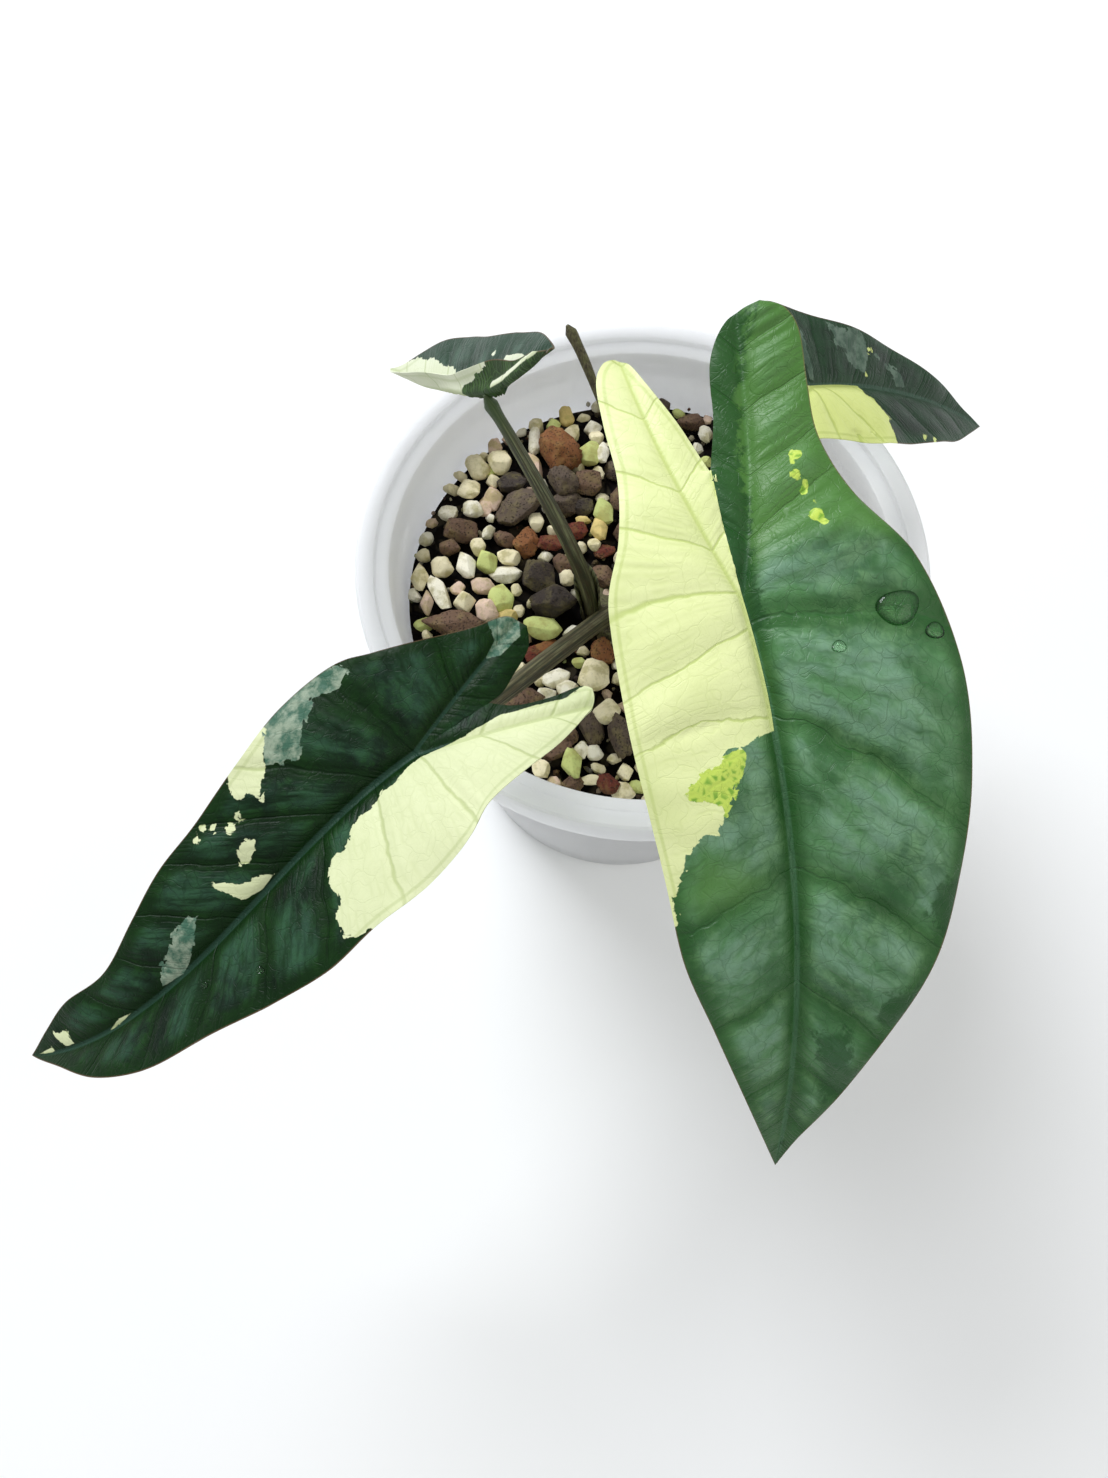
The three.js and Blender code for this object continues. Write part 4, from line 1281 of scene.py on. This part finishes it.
@dataclass
class StemBase:
    """The short stem that the stalks grow from, ringed with old leaf scars."""

    centre: tuple[float, float] = (-4.5, -6.0)
    radius: float = 9.6
    depth: float = 16.0
    sides: int = 72

    def build(self) -> bpy.types.Object:
        """Makes the stem base.

        Returns:
            The stem base.
        """
        top = POT_HEIGHT - MIX_DROP + CORM_RISE
        floor = top - self.depth
        profile = [(self.radius * 0.72, floor)]
        scars = 6
        for scar in range(scars):
            height = floor + 0.6 + scar * (self.depth - 2.2) / scars
            swell = self.radius * (0.8 + 0.2 * math.sin(math.pi * (scar + 1) / (scars + 1)))
            profile += [(swell, height), (swell * 0.975, height + 1.1), (swell * 0.95, height + 1.3)]
        profile += [(self.radius * 0.8, top - 0.6), (self.radius * 0.6, top - 0.15), (self.radius * 0.3, top)]
        piece = turned("stem_base", profile, self.sides, self.centre)
        edit_mesh(piece, lambda: bpy.ops.mesh.inset(thickness=0.0004))
        places = vertex_places(piece)
        for i, place in enumerate(places):
            rough = noise.noise(Vector(place) * 260.0)
            places[i, :2] += (place[:2] - np.array(self.centre) * MM) * 0.05 * rough
        move_vertices(piece, places)
        smooth(piece, 40)
        return piece


@dataclass(frozen=True)
class PotFinish:
    """Frosted clear plastic."""

    tint: str = "fbfcfd"
    haze: float = 0.1

    def material(self) -> bpy.types.Material:
        """Mixes the plastic, cloudy in places and with faint moulding lines."""
        material, shader, surface = new_material("frosted_plastic")
        place = shader.millimetres()
        cloud = shader.noise(place, 0.05, 4.0)
        surface.inputs["Base Color"].default_value = paint(self.tint)
        surface.inputs["Transmission Weight"].default_value = self.haze
        shader.feed(surface.inputs["Roughness"], shader.span(cloud, 0.3, 0.7, 0.36, 0.5))
        surface.inputs["IOR"].default_value = 1.46
        surface.inputs["Subsurface Weight"].default_value = 0.9
        surface.inputs["Subsurface Radius"].default_value = (1.0, 1.0, 1.0)
        surface.inputs["Subsurface Scale"].default_value = 0.012
        grain = shader.noise(shader.stretch(place, (1.0, 1.0, 0.25)), 1.4, 5.0)
        scratches = shader.noise(shader.stretch(place, (0.2, 0.2, 3.0)), 1.0, 2.0)
        relief = shader.bump(grain, 0.25, 0.12)
        shader.feed(surface.inputs["Normal"], shader.bump(scratches, 0.15, 0.1, relief))
        return material


@dataclass
class Pot:
    """The round tapered nursery pot with its stepped rim, hanging skirt and drain holes."""

    wall: float = 1.2
    mouth: float = 57.6
    skirt: float = 11.0
    sides: int = 192
    holes: int = 8
    hole_radius: float = 3.5
    hole_ring: float = 33.0
    foot_radius: float = 45.0

    def inside(self, height: float) -> float:
        """The inner radius at a height above the base."""
        lip = POT_HEIGHT - 2.5
        return self.foot_radius - self.wall + (self.mouth - self.foot_radius + self.wall) * height / lip

    def profile(self) -> list[tuple[float, float]]:
        """The outline from the base's middle out, over the rim and back to the floor."""
        top, rim = POT_HEIGHT, RIM_RADIUS
        foot = self.foot_radius
        under_rim = top - 7.3
        outer = [(foot - 1, 0), (foot - 0.3, 0.3), (foot, 1)]
        for height in (14, 14.6, 34, 54, 74, 92.4, 93.2):
            step = 0.25 if height in (14.6, 93.2) else 0.0
            outer.append((self.inside(height) + self.wall + step, height))
        outer.append((self.inside(under_rim) + self.wall, under_rim))
        skirt_foot = top - self.skirt
        rolled = [(rim - 2.4, top - 2.4), (rim - 1.9, skirt_foot + 0.2), (rim - 1.6, skirt_foot),
                  (rim - 0.9, skirt_foot), (rim - 0.7, skirt_foot + 0.3), (rim - 0.4, top - 5),
                  (rim, top - 0.8), (rim - 0.2, top - 0.3), (rim - 0.8, top), (rim - 3.6, top - 0.35),
                  (rim - 4.0, top - 0.6), (rim - 4.2, top - 1.3), (rim - 4.5, top - 1.6),
                  (rim - 6.9, top - 2.2), (self.mouth + 0.1, top - 2.4), (self.mouth - 0.15, top - 2.8)]
        inner = [(self.inside(height), height) for height in (98, 97.6, 80, 60, 40, 20, 4)]
        return outer + rolled + inner + [(self.inside(BASE_FLOOR) - 2, BASE_FLOOR)]

    def build(self) -> bpy.types.Object:
        """Makes the pot.

        Returns:
            The pot.
        """
        piece = turned("nursery_pot", self.profile(), self.sides)
        cutters = []
        for i in range(self.holes):
            angle = (i + 0.5) * 2 * math.pi / self.holes
            spot = Vector((math.cos(angle), math.sin(angle), 0)) * self.hole_ring * MM
            bpy.ops.mesh.primitive_cylinder_add(
                vertices=32, radius=self.hole_radius * MM, depth=8 * MM, location=spot)
            cutters.append(bpy.context.view_layer.objects.active)
        cutter = join(cutters, "drain_cutter")
        apply_modifier(piece, "BOOLEAN", object=cutter, operation="DIFFERENCE", solver="EXACT")
        bpy.data.objects.remove(cutter)
        smooth(piece, 28)
        return piece


# The mix and its stones.

SEEN_STONES: dict[Stone, Places] = {
    Stone.WHITE: (
        (-40, 20, 5, 4, -10), (-41, 5, 4.5, 7.5, 15), (-31, 3, 7.5, 4, 0), (-47, -3, 4, 8.5, 25),
        (-15, -13, 5.5, 3.5, 0), (-22, 8, 3.5, 3, 0), (-25, 40, 3, 8, -5), (-23, 28, 2.5, 3.5, 0),
        (-10, 45, 4.5, 4, 0), (-8, 37, 3, 5, 0), (-19, -24, 6.5, 4, 20), (-22, -29, 5.5, 4.5, 20),
        (-17, -27, 5, 3.5, 0), (-14, -42, 3, 3.5, 0), (-11, -43, 3.5, 3.5, 0)),
    Stone.PALE: (
        (-38, 10, 3.5, 4.5, 0), (-31, 7, 5.5, 4, 0), (-29, -2, 2.5, 3, 0), (-52, 2, 4, 7, 0),
        (-47, 4, 5, 5, 0), (-41, -5, 5, 5, 0), (-28, -7, 2.5, 3, 0), (-17, 1, 3.5, 4, 0),
        (-33, 34, 5.5, 6, 0), (-39, 32, 5, 6.5, 20), (-41, 26, 5, 5, 30), (-35, 29, 3.5, 3.5, 0),
        (-24, 17, 3.5, 4.5, 0), (-9, 42, 3.5, 3.5, 0), (-10, 11, 3, 3, 0), (-11, -24, 6.5, 6.5, 30),
        (-28, -23, 4, 4, 30), (-8, -33, 5, 5.5, 0), (-23, -47, 4, 4, 0), (-12, -49, 4.5, 2, 0),
        (-4, -47, 3.5, 4, 0), (-5, -52, 5, 4, 0)),
    Stone.PINK: (
        (-37, -1, 5.5, 4, 0), (-43, -1, 3, 3, 0), (-50, -5, 3, 5.5, 0), (-36, -8, 5, 5.5, 0),
        (-35, 39, 3.5, 5, 0), (-35, 24, 5, 6, 0), (-37, 22, 4, 4.5, 0), (-25, 32, 4, 7, 15),
        (-20, -50, 3, 3, 0)),
    Stone.YELLOW: (
        (-31, -9, 4.5, 3.5, 0), (-17, 48, 3.5, 5.5, 0), (-9, 15, 4, 6, 10), (-13, 18, 3.5, 2, 0)),
    Stone.GREENISH: (
        (-36, 6, 5, 6, 20), (-32, -4, 5.5, 7, 15), (-50, -10, 5, 3, 10), (-22, -12, 8.5, 5, -15),
        (-36, 32, 3, 3.5, 0), (-20, 45, 3.5, 3.5, 0), (-11, 37, 6, 6, 0), (-8, 20, 4, 6, 20),
        (-14, -20, 3, 2.5, 0), (-16, -45, 4.5, 7.5, 10)),
    Stone.LAVA_BROWN: (
        (-43, 15, 8, 6, 0), (-45, 10, 4.5, 4.5, 0), (-12, 28, 7, 6.5, 0), (-18, 5, 4.5, 4.5, 0),
        (-44, -11, 11, 5.5, -10), (-8, 2, 5, 6, 0), (-27, -30, 8.5, 6, 20), (-17, -38, 4, 5, 0),
        (-20, -42, 6.5, 5.5, 30), (-16, -50, 4, 3.5, 0)),
    Stone.LAVA_GREY: (
        (-29, 20, 11, 7, 40), (-18, 28, 7, 6.5, 0), (-17, 23, 6, 6, 0), (-12, -36, 5, 8.5, 10),
        (-5, -39, 6, 8.5, 0)),
    Stone.LAVA_DARK: (
        (-31, 28, 6.5, 6, 0), (-24, 2, 7.5, 8.5, 0), (-20, -5, 9.5, 8.5, 10), (-13, 22, 5, 4.5, 0),
        (-4, 47, 6.5, 8, 0)),
    Stone.LAVA_ORANGE: (
        (-19, 37, 9.5, 10, 0), (-27, 11, 5, 6.5, 0), (-21, -17, 7.5, 4, 0), (-9, -18, 5, 6, 0)),
    Stone.LAVA_RED: (
        (-21, 11, 6.5, 4, 0), (-15, 15, 5.5, 4.5, 20), (-25, -19, 4, 4, 0), (-8, -50, 4, 5.5, 30),
        (-8, 9, 4.5, 3, 30)),
}


@dataclass(frozen=True)
class MixFinish:
    """Dark damp grit, seen between the stones and through the pot's wall."""

    dark: str = "080606"
    brown: str = "1c140f"
    speck: str = "4d4536"

    def material(self, effects: SharedEffects) -> bpy.types.Material:
        """Mixes the grit."""
        material, shader, surface = new_material("grit_finish")
        place = shader.millimetres()
        mottle = shader.group(effects.mottle, place=place)
        lumps = shader.cells(place, 0.28, "F1")
        split = shader.node("ShaderNodeSeparateColor")
        shader.feed(split.inputs[0], lumps.outputs["Color"])
        colour = shader.mix(split.outputs[0], self.dark, self.brown)
        pale = shader.span(split.outputs[1], 0.72, 0.8)
        colour = shader.mix(shader.times(pale, 0.7), colour, self.speck)
        # Painted shade: darker in the gaps between the grit's lumps.
        gaps = shader.span(shader.cells(place, 0.28).outputs["Distance"], 0.02, 0.16, 1.0, 0.0)
        colour = shader.mix(shader.times(gaps, 0.9), colour, self.dark)
        colour = shader.mix(shader.times(mottle.outputs["Blotch"], 0.4), colour, self.dark)
        shader.feed(surface.inputs["Base Color"], colour)
        shader.feed(surface.inputs["Roughness"], shader.span(mottle.outputs["Cloud"], 0.3, 0.7, 0.7, 0.95))
        surface.inputs["Specular IOR Level"].default_value = 0.08
        shader.feed(surface.inputs["Normal"], shader.bump(lumps.outputs["Distance"], 0.8, 1.2))
        return material


@dataclass(frozen=True)
class StoneFinish:
    """Pumice and lava, each with its own pores."""

    stain: str = "a59a52"
    pit: str = "1c140f"
    grain: str = "93816c"

    def material(self) -> bpy.types.Material:
        """Mixes the stone from each stone's own colour and grain."""
        material, shader, surface = new_material("stone_finish")
        place = shader.millimetres()
        tint = shader.attribute("tint", "Color")
        porous = shader.attribute("porous")
        cloud = shader.noise(place, 0.32, 5.0, 0.6)
        fine = shader.noise(place, 3.2, 4.0, 0.6)
        stain = shader.times(shader.span(cloud, 0.44, 0.66, 0.0, 0.6),
                             shader.span(porous, 0.0, 1.0, 1.0, 0.3))
        colour = shader.mix(stain, tint, self.stain)
        # Painted shade: the pores darken, most on lava, where shade falls inside them.
        pits = shader.span(shader.cells(place, 1.5, "F1").outputs["Distance"], 0.12, 0.42, 1.0, 0.0)
        pits = shader.times(pits, shader.span(fine, 0.35, 0.6))
        darkened = shader.times(pits, shader.span(porous, 0.0, 1.0, 0.16, 0.75))
        colour = shader.mix(darkened, colour, self.pit)
        lit = shader.span(fine, 0.55, 0.75, 0.0, 0.4)
        colour = shader.mix(shader.times(lit, porous), colour, self.grain)
        shader.feed(surface.inputs["Base Color"], colour)
        shader.feed(surface.inputs["Roughness"], shader.span(fine, 0.3, 0.7, 0.72, 0.95))
        grain = shader.bump(fine, 0.5, 0.3)
        hollow = shader.maths("SUBTRACT", 1.0, shader.times(pits, porous))
        shader.feed(surface.inputs["Normal"], shader.bump(hollow, 0.9, 0.5, grain))
        return material


@dataclass
class GrittyMix:
    """The potting mix: a dark body with pumice, lava and grit lying loose on its top."""

    seed: int = 7
    base_gap: float = 0.3
    sides: int = 160
    fillers: int = 380
    chips: int = 600
    shapes: int = 5

    def body(self, pot: Pot) -> bpy.types.Object:
        """Makes the body of the mix, a little inside the pot.

        Args:
            pot: The pot that holds it.

        Returns:
            The body.
        """
        top = POT_HEIGHT - MIX_DROP
        levels = (BASE_FLOOR + self.base_gap, 20, 40, 60, 80, top - 3.6)
        profile = [(pot.inside(level) - self.base_gap, level) for level in levels]
        edge = profile[-1][0]
        rings = 12
        profile += [(edge * (1 - 0.97 * i / rings), top - 1.4 - 1.6 / i**2) for i in range(1, rings + 1)]
        piece = turned("mix_body", profile, self.sides)
        places = vertex_places(piece)
        for i, place in enumerate(places):
            if place[2] > (top - 1.3) * MM:
                places[i, 2] += 0.9 * MM * noise.noise(Vector(place) * 180.0)
        move_vertices(piece, places)
        smooth(piece, 50)
        return piece

    def shape(self, index: int, detail: int, rough: float) -> bpy.types.Object:
        """Models one stone of unit size.

        Args:
            index: Which of the shapes it is.
            detail: How finely it is divided.
            rough: How far its surface strays from round.

        Returns:
            The stone.
        """
        deselect_all()
        bpy.ops.mesh.primitive_ico_sphere_add(subdivisions=detail, radius=0.5)
        piece = bpy.context.view_layer.objects.active
        piece.name = "stone_shape"
        places = vertex_places(piece)
        offset = Vector((7.3 * index, 3.1 * index, 0))
        flats = np.random.default_rng(90 + index)
        cuts = flats.normal(size=(9, 3))
        cuts /= np.linalg.norm(cuts, axis=1)[:, None]
        for i, place in enumerate(places):
            spot = Vector(place)
            swell = noise.noise(spot * 2.2 + offset) * 0.9 + noise.noise(spot * 6.0 + offset) * 0.35
            fine = noise.noise(spot * 13.0 + offset) * 0.45 if detail > 2 else 0.0
            place = place * (1 + rough * (swell + fine))
            for cut in cuts:
                over = place @ cut - 0.34
                if over > 0:
                    place = place - cut * over * 0.93
            places[i] = place
        move_vertices(piece, places)
        smooth(piece, 180 if rough > 0.25 else 32)
        return piece

    def lay(self, shape: bpy.types.Object, spot: Sequence[float], size: Sequence[float],
            turn: Sequence[float], kind: Stone, tone: float) -> bpy.types.Object:
        """Copies a stone to its place.

        Args:
            shape: The modelled stone.
            spot: Its middle, from the pot's base.
            size: Its three sizes.
            turn: Its three turns in degrees.
            kind: The kind of stone.
            tone: How light this one is.

        Returns:
            The copy.
        """
        piece = shape.copy()
        piece.data = shape.data.copy()
        bpy.context.scene.collection.objects.link(piece)
        turning = Euler([math.radians(a) for a in turn]).to_matrix().to_4x4()
        scale = Matrix.Diagonal((*(s * MM for s in size), 1))
        piece.data.transform(Matrix.Translation(Vector(spot) * MM) @ turning @ scale)
        count = len(piece.data.vertices)
        colour = np.array(paint(kind.value)) * tone
        colour[3] = 1
        write_attribute(piece, "tint", np.tile(colour, (count, 1)))
        write_attribute(piece, "porous", np.full(count, 1.0 if kind.is_lava else 0.0))
        return piece

    def keep_clear(self) -> list[tuple[float, float, float]]:
        """The places that stalks take up on top of the mix, with their radii."""
        stalks = [leaf.stalk for leaf in LEAVES]
        taken = [(*s.base, s.radii[0] + 0.4) for s in stalks]
        taken += [(s.base[0] + s.rise[0] * 0.2, s.base[1] + s.rise[1] * 0.2, s.radii[0]) for s in stalks]
        return taken + [(*DRY_STALK.base, DRY_STALK.radii[0] + 0.3)]

    def stones(self, pot: Pot) -> bpy.types.Object:
        """Lays the stones that show and fills the rest of the top with more.

        Args:
            pot: The pot that holds them.

        Returns:
            All the loose stones as one piece.
        """
        rng = np.random.default_rng(self.seed)
        top = POT_HEIGHT - MIX_DROP
        pumice = [self.shape(i, 3, 0.22) for i in range(self.shapes)]
        lava = [self.shape(20 + i, 4, 0.38) for i in range(self.shapes)]
        plain_pumice = [self.shape(40 + i, 2, 0.22) for i in range(self.shapes)]
        plain_lava = [self.shape(60 + i, 3, 0.3) for i in range(self.shapes)]
        chip = [self.shape(80 + i, 1, 0.2) for i in range(self.shapes)]
        laid, taken = [], []
        for kind, rows in SEEN_STONES.items():
            for x, y, length, width, turn in rows:
                tall = 0.8 * min(length, width)
                made = (lava if kind.is_lava else pumice)[rng.integers(self.shapes)]
                spot = (x, y, top + 0.22 * tall + rng.uniform(0, 1.6))
                tilt = rng.uniform(-12, 12, 2)
                size = (length * STONE_GROWTH, width * STONE_GROWTH, tall * 1.1)
                laid.append(self.lay(made, spot, size, (*tilt, turn), kind, rng.uniform(0.92, 1.14)))
                taken.append((x, y, 0.42 * (length + width) / 2 + 0.2))
        limit = pot.inside(top) - 0.5
        spaces = self.keep_clear() + taken
        kinds = (Stone.WHITE, Stone.WHITE, Stone.PALE, Stone.PALE, Stone.PALE, Stone.PINK, Stone.GREENISH)
        lavas = (Stone.LAVA_BROWN, Stone.LAVA_BROWN, Stone.LAVA_GREY, Stone.LAVA_DARK, Stone.LAVA_ORANGE,
                 Stone.LAVA_RED)
        for i in range(self.fillers):
            is_lava = i < self.fillers * 0.22
            radius = rng.uniform(2.6, 4.8) if is_lava else rng.uniform(1.5, 2.9)
            spot = self.free_spot(rng, spaces, radius, limit)
            if spot is None:
                continue
            spaces.append((*spot, radius * 0.86))
            kind = lavas[rng.integers(len(lavas))] if is_lava else kinds[rng.integers(len(kinds))]
            made = (plain_lava if is_lava else plain_pumice)[rng.integers(self.shapes)]
            stretch = rng.uniform(0.82, 1.25)
            size = (2 * radius * stretch, 2 * radius / stretch, 1.6 * radius)
            place = (*spot, top + 0.15 * radius + rng.uniform(-0.3, 0.6))
            laid.append(self.lay(made, place, size, (*rng.uniform(-25, 25, 2), rng.uniform(0, 360)), kind,
                                 rng.uniform(0.82, 1.08)))
        everything = kinds + lavas
        for _ in range(self.chips):
            away, angle = limit * math.sqrt(rng.uniform()), rng.uniform(0, 2 * math.pi)
            radius = rng.uniform(0.5, 1.1)
            place = (min(away, limit - 1) * math.cos(angle), min(away, limit - 1) * math.sin(angle),
                     top - 0.5 + rng.uniform(-0.3, 0.4))
            size = 2 * radius * rng.uniform(0.7, 1.2, 3)
            laid.append(self.lay(chip[rng.integers(self.shapes)], place, size, rng.uniform(0, 360, 3),
                                 everything[rng.integers(len(everything))], rng.uniform(0.12, 0.6)))
        for shape in (*pumice, *lava, *plain_pumice, *plain_lava, *chip):
            bpy.data.objects.remove(shape)
        return join(laid, "loose_stones")

    @staticmethod
    def free_spot(rng: np.random.Generator, spaces: Places, radius: float, limit: float) -> Array | None:
        """Finds room for one more stone, or nothing after a number of tries."""
        taken = np.array(spaces)
        for _ in range(60):
            away, angle = (limit - radius) * math.sqrt(rng.uniform()), rng.uniform(0, 2 * math.pi)
            spot = np.array((away * math.cos(angle), away * math.sin(angle)))
            if np.all(np.hypot(*(taken[:, :2] - spot).T) > taken[:, 2] + radius * 0.9):
                return spot
        return None


# Water, floor, light and camera.

WATER_CLEAR = "f4fbf4"
# The second colour is painted shade for the drop's dark outline.
WATER_RIM_SHADE = "3a6b3e"


@dataclass
class WaterDrop:
    """A drop lying on a blade: its flat place, its two sizes and its height."""

    leaf: Leaf
    side: Side
    along: float
    out: float
    length: float
    width: float
    height: float

    def build(self, name: str) -> bpy.types.Object:
        """Makes the drop, domed over the blade's surface.

        Args:
            name: The piece's name.

        Returns:
            The drop.
        """
        deselect_all()
        bpy.ops.mesh.primitive_uv_sphere_add(segments=40, ring_count=24, radius=1.0)
        piece = bpy.context.view_layer.objects.active
        piece.name = name
        unit = vertex_places(piece)
        wobble = 1 + 0.06 * np.sin(3 * np.arctan2(unit[:, 1], unit[:, 0]) + self.along)
        along = self.along + unit[:, 0] * wobble * self.length / 2
        out = self.out + unit[:, 1] * wobble * self.width / 2
        half = self.leaf.half(self.side)
        edge = np.full(len(along), 10.0)
        height = self.leaf.relief(half, along, out, edge)[0]
        ground = self.leaf.surface(self.side, along, out)
        step = 0.05
        ahead = self.leaf.surface(self.side, along + step, out) - ground
        aside = self.leaf.surface(self.side, along, out + step) - ground
        normal = np.cross(aside, ahead) * self.side.value
        normal /= np.linalg.norm(normal, axis=1)[:, None]
        dome = np.where(unit[:, 2] > 0, self.height * unit[:, 2] ** 0.8, 0.15 * unit[:, 2])
        places = ground + normal * (height + dome)[:, None]
        places[:, 2] += POT_HEIGHT
        move_vertices(piece, places * MM)
        write_attribute(piece, "rim", np.hypot(unit[:, 0], unit[:, 1]))
        edit_mesh(piece, lambda: bpy.ops.mesh.normals_make_consistent(inside=False))
        smooth(piece)
        return piece


def water_finish() -> bpy.types.Material:
    """Clear water with a faint ripple and a painted shade round its rim."""
    material, shader, surface = new_material("water_finish")
    # Painted shade: the drop's colour darkens to green towards its rim, standing in for the dark outline that
    # the water's refraction gives.
    rim = shader.span(shader.attribute("rim"), 0.6, 0.98)
    shader.feed(surface.inputs["Base Color"], shader.mix(rim, WATER_CLEAR, WATER_RIM_SHADE))
    surface.inputs["Transmission Weight"].default_value = 1.0
    surface.inputs["Roughness"].default_value = 0.02
    surface.inputs["IOR"].default_value = 1.33
    ripple = shader.noise(shader.millimetres(), 0.5, 1.0)
    shader.feed(surface.inputs["Normal"], shader.bump(ripple, 0.1, 0.1))
    return material


DROPS = (
    WaterDrop(FRONT, Side.LEFT, 8.1, 23.4, 5.2, 7.2, 1.3),
    WaterDrop(FRONT, Side.LEFT, 11.9, 12.4, 2.0, 2.4, 0.4),
    WaterDrop(FRONT, Side.LEFT, 12.6, 28.3, 2.6, 3.2, 0.25),
    WaterDrop(LEFT, Side.LEFT, 45.5, 11.3, 1.3, 1.5, 0.3),
    WaterDrop(LEFT, Side.LEFT, 55.6, 5.4, 1.2, 1.4, 0.3),
)


@dataclass
class Studio:
    """A plain pale floor under soft light, and the camera."""

    floor_size: float = 4.0
    place: tuple[float, float, float] = (-20.0, -128.0, 328.0)
    slope: float = 69.3
    focal_pixels: float = 1110.0
    sensor: float = 36.0

    def floor(self) -> bpy.types.Object:
        """Lays the floor."""
        deselect_all()
        bpy.ops.mesh.primitive_plane_add(size=self.floor_size)
        piece = bpy.context.view_layer.objects.active
        piece.name = "studio_floor"
        material, shader, surface = new_material("studio_paper")
        tone = shader.noise(shader.millimetres(), 0.004, 2.0)
        colour = shader.mix(shader.span(tone, 0.3, 0.7), "f4f4f2", "f8f8f7")
        shader.feed(surface.inputs["Base Color"], colour)
        surface.inputs["Roughness"].default_value = 0.9
        piece.data.materials.append(material)
        return piece

    def light(self, name: str, spot: Sequence[float], size: float, power: float, tone: str) -> None:
        """Hangs a large soft light that faces the plant."""
        data = bpy.data.lights.new(name, "AREA")
        data.shape = "DISK"
        data.size = size
        data.energy = power
        data.color = paint(tone)[:3]
        lamp = bpy.data.objects.new(name, data)
        lamp.location = spot
        lamp.rotation_euler = (Vector((0, 0, 0.12)) - Vector(spot)).to_track_quat("-Z", "Y").to_euler()
        bpy.context.scene.collection.objects.link(lamp)

    def camera(self) -> None:
        """Places the camera where the photograph was taken from."""
        data = bpy.data.cameras.new("camera")
        data.sensor_width = self.sensor
        data.lens = self.sensor * self.focal_pixels / max(IMAGE_WIDTH, IMAGE_HEIGHT)
        data.clip_start = 0.01
        camera = bpy.data.objects.new("camera", data)
        camera.location = Vector(self.place) * MM
        camera.rotation_euler = (math.radians(90 - self.slope), 0, 0)
        bpy.context.scene.collection.objects.link(camera)
        bpy.context.scene.camera = camera

    def build(self) -> None:
        """Sets up the whole studio."""
        self.floor()
        world = bpy.data.worlds.new("studio_world")
        world.use_nodes = True
        background = world.node_tree.nodes["Background"]
        background.inputs["Color"].default_value = paint("f2f5f8")
        background.inputs["Strength"].default_value = 0.56
        bpy.context.scene.world = world
        self.light("window", (-0.7, 0.9, 1.2), 0.9, 22.0, "f6f9ff")
        self.light("fill", (0.9, -0.5, 1.1), 1.2, 4.0, "fffaf2")
        bpy.context.scene.view_settings.view_transform = "Standard"
        self.camera()


def main() -> None:
    """Builds every piece in order."""
    logging.basicConfig(level=logging.INFO, format="%(message)s")
    effects = SharedEffects()
    Studio().build()

    pot = Pot()
    settle(pot.build(), PotFinish().material(), ["pot"])
    mix = GrittyMix()
    settle(mix.body(pot), MixFinish().material(effects), ["potting_mix"])
    settle(mix.stones(pot), StoneFinish().material(), ["potting_mix"])
    settle(StemBase().build(), DryFinish("stem_finish").material(effects), ["corm"])

    green_skin = StalkFinish("green_stalk_finish").material(effects)
    brown_skin = StalkFinish("brown_stalk_finish", pale="777252", tip="62493a").material(effects)
    for leaf in LEAVES:
        leaf.seat_stalk()
        settle(leaf.build(), leaf.finish.material(effects), [f"leaf_{leaf.name}"])
        skin = brown_skin if leaf is LEFT else green_skin
        settle(leaf.stalk.build(), skin, [leaf.stalk.name])
        if leaf.stalk.sheath:
            settle(leaf.stalk.build_sheath(), skin, [leaf.stalk.name])
    settle(DRY_STALK.build(), DryFinish("dry_finish").material(effects), ["dry_petiole"])

    water = water_finish()
    for number, drop in enumerate(DROPS):
        bead = drop.build(f"water_drop_{number + 1}")
        bead.visible_shadow = False
        settle(bead, water, [])


if __name__ == "__main__":
    main()
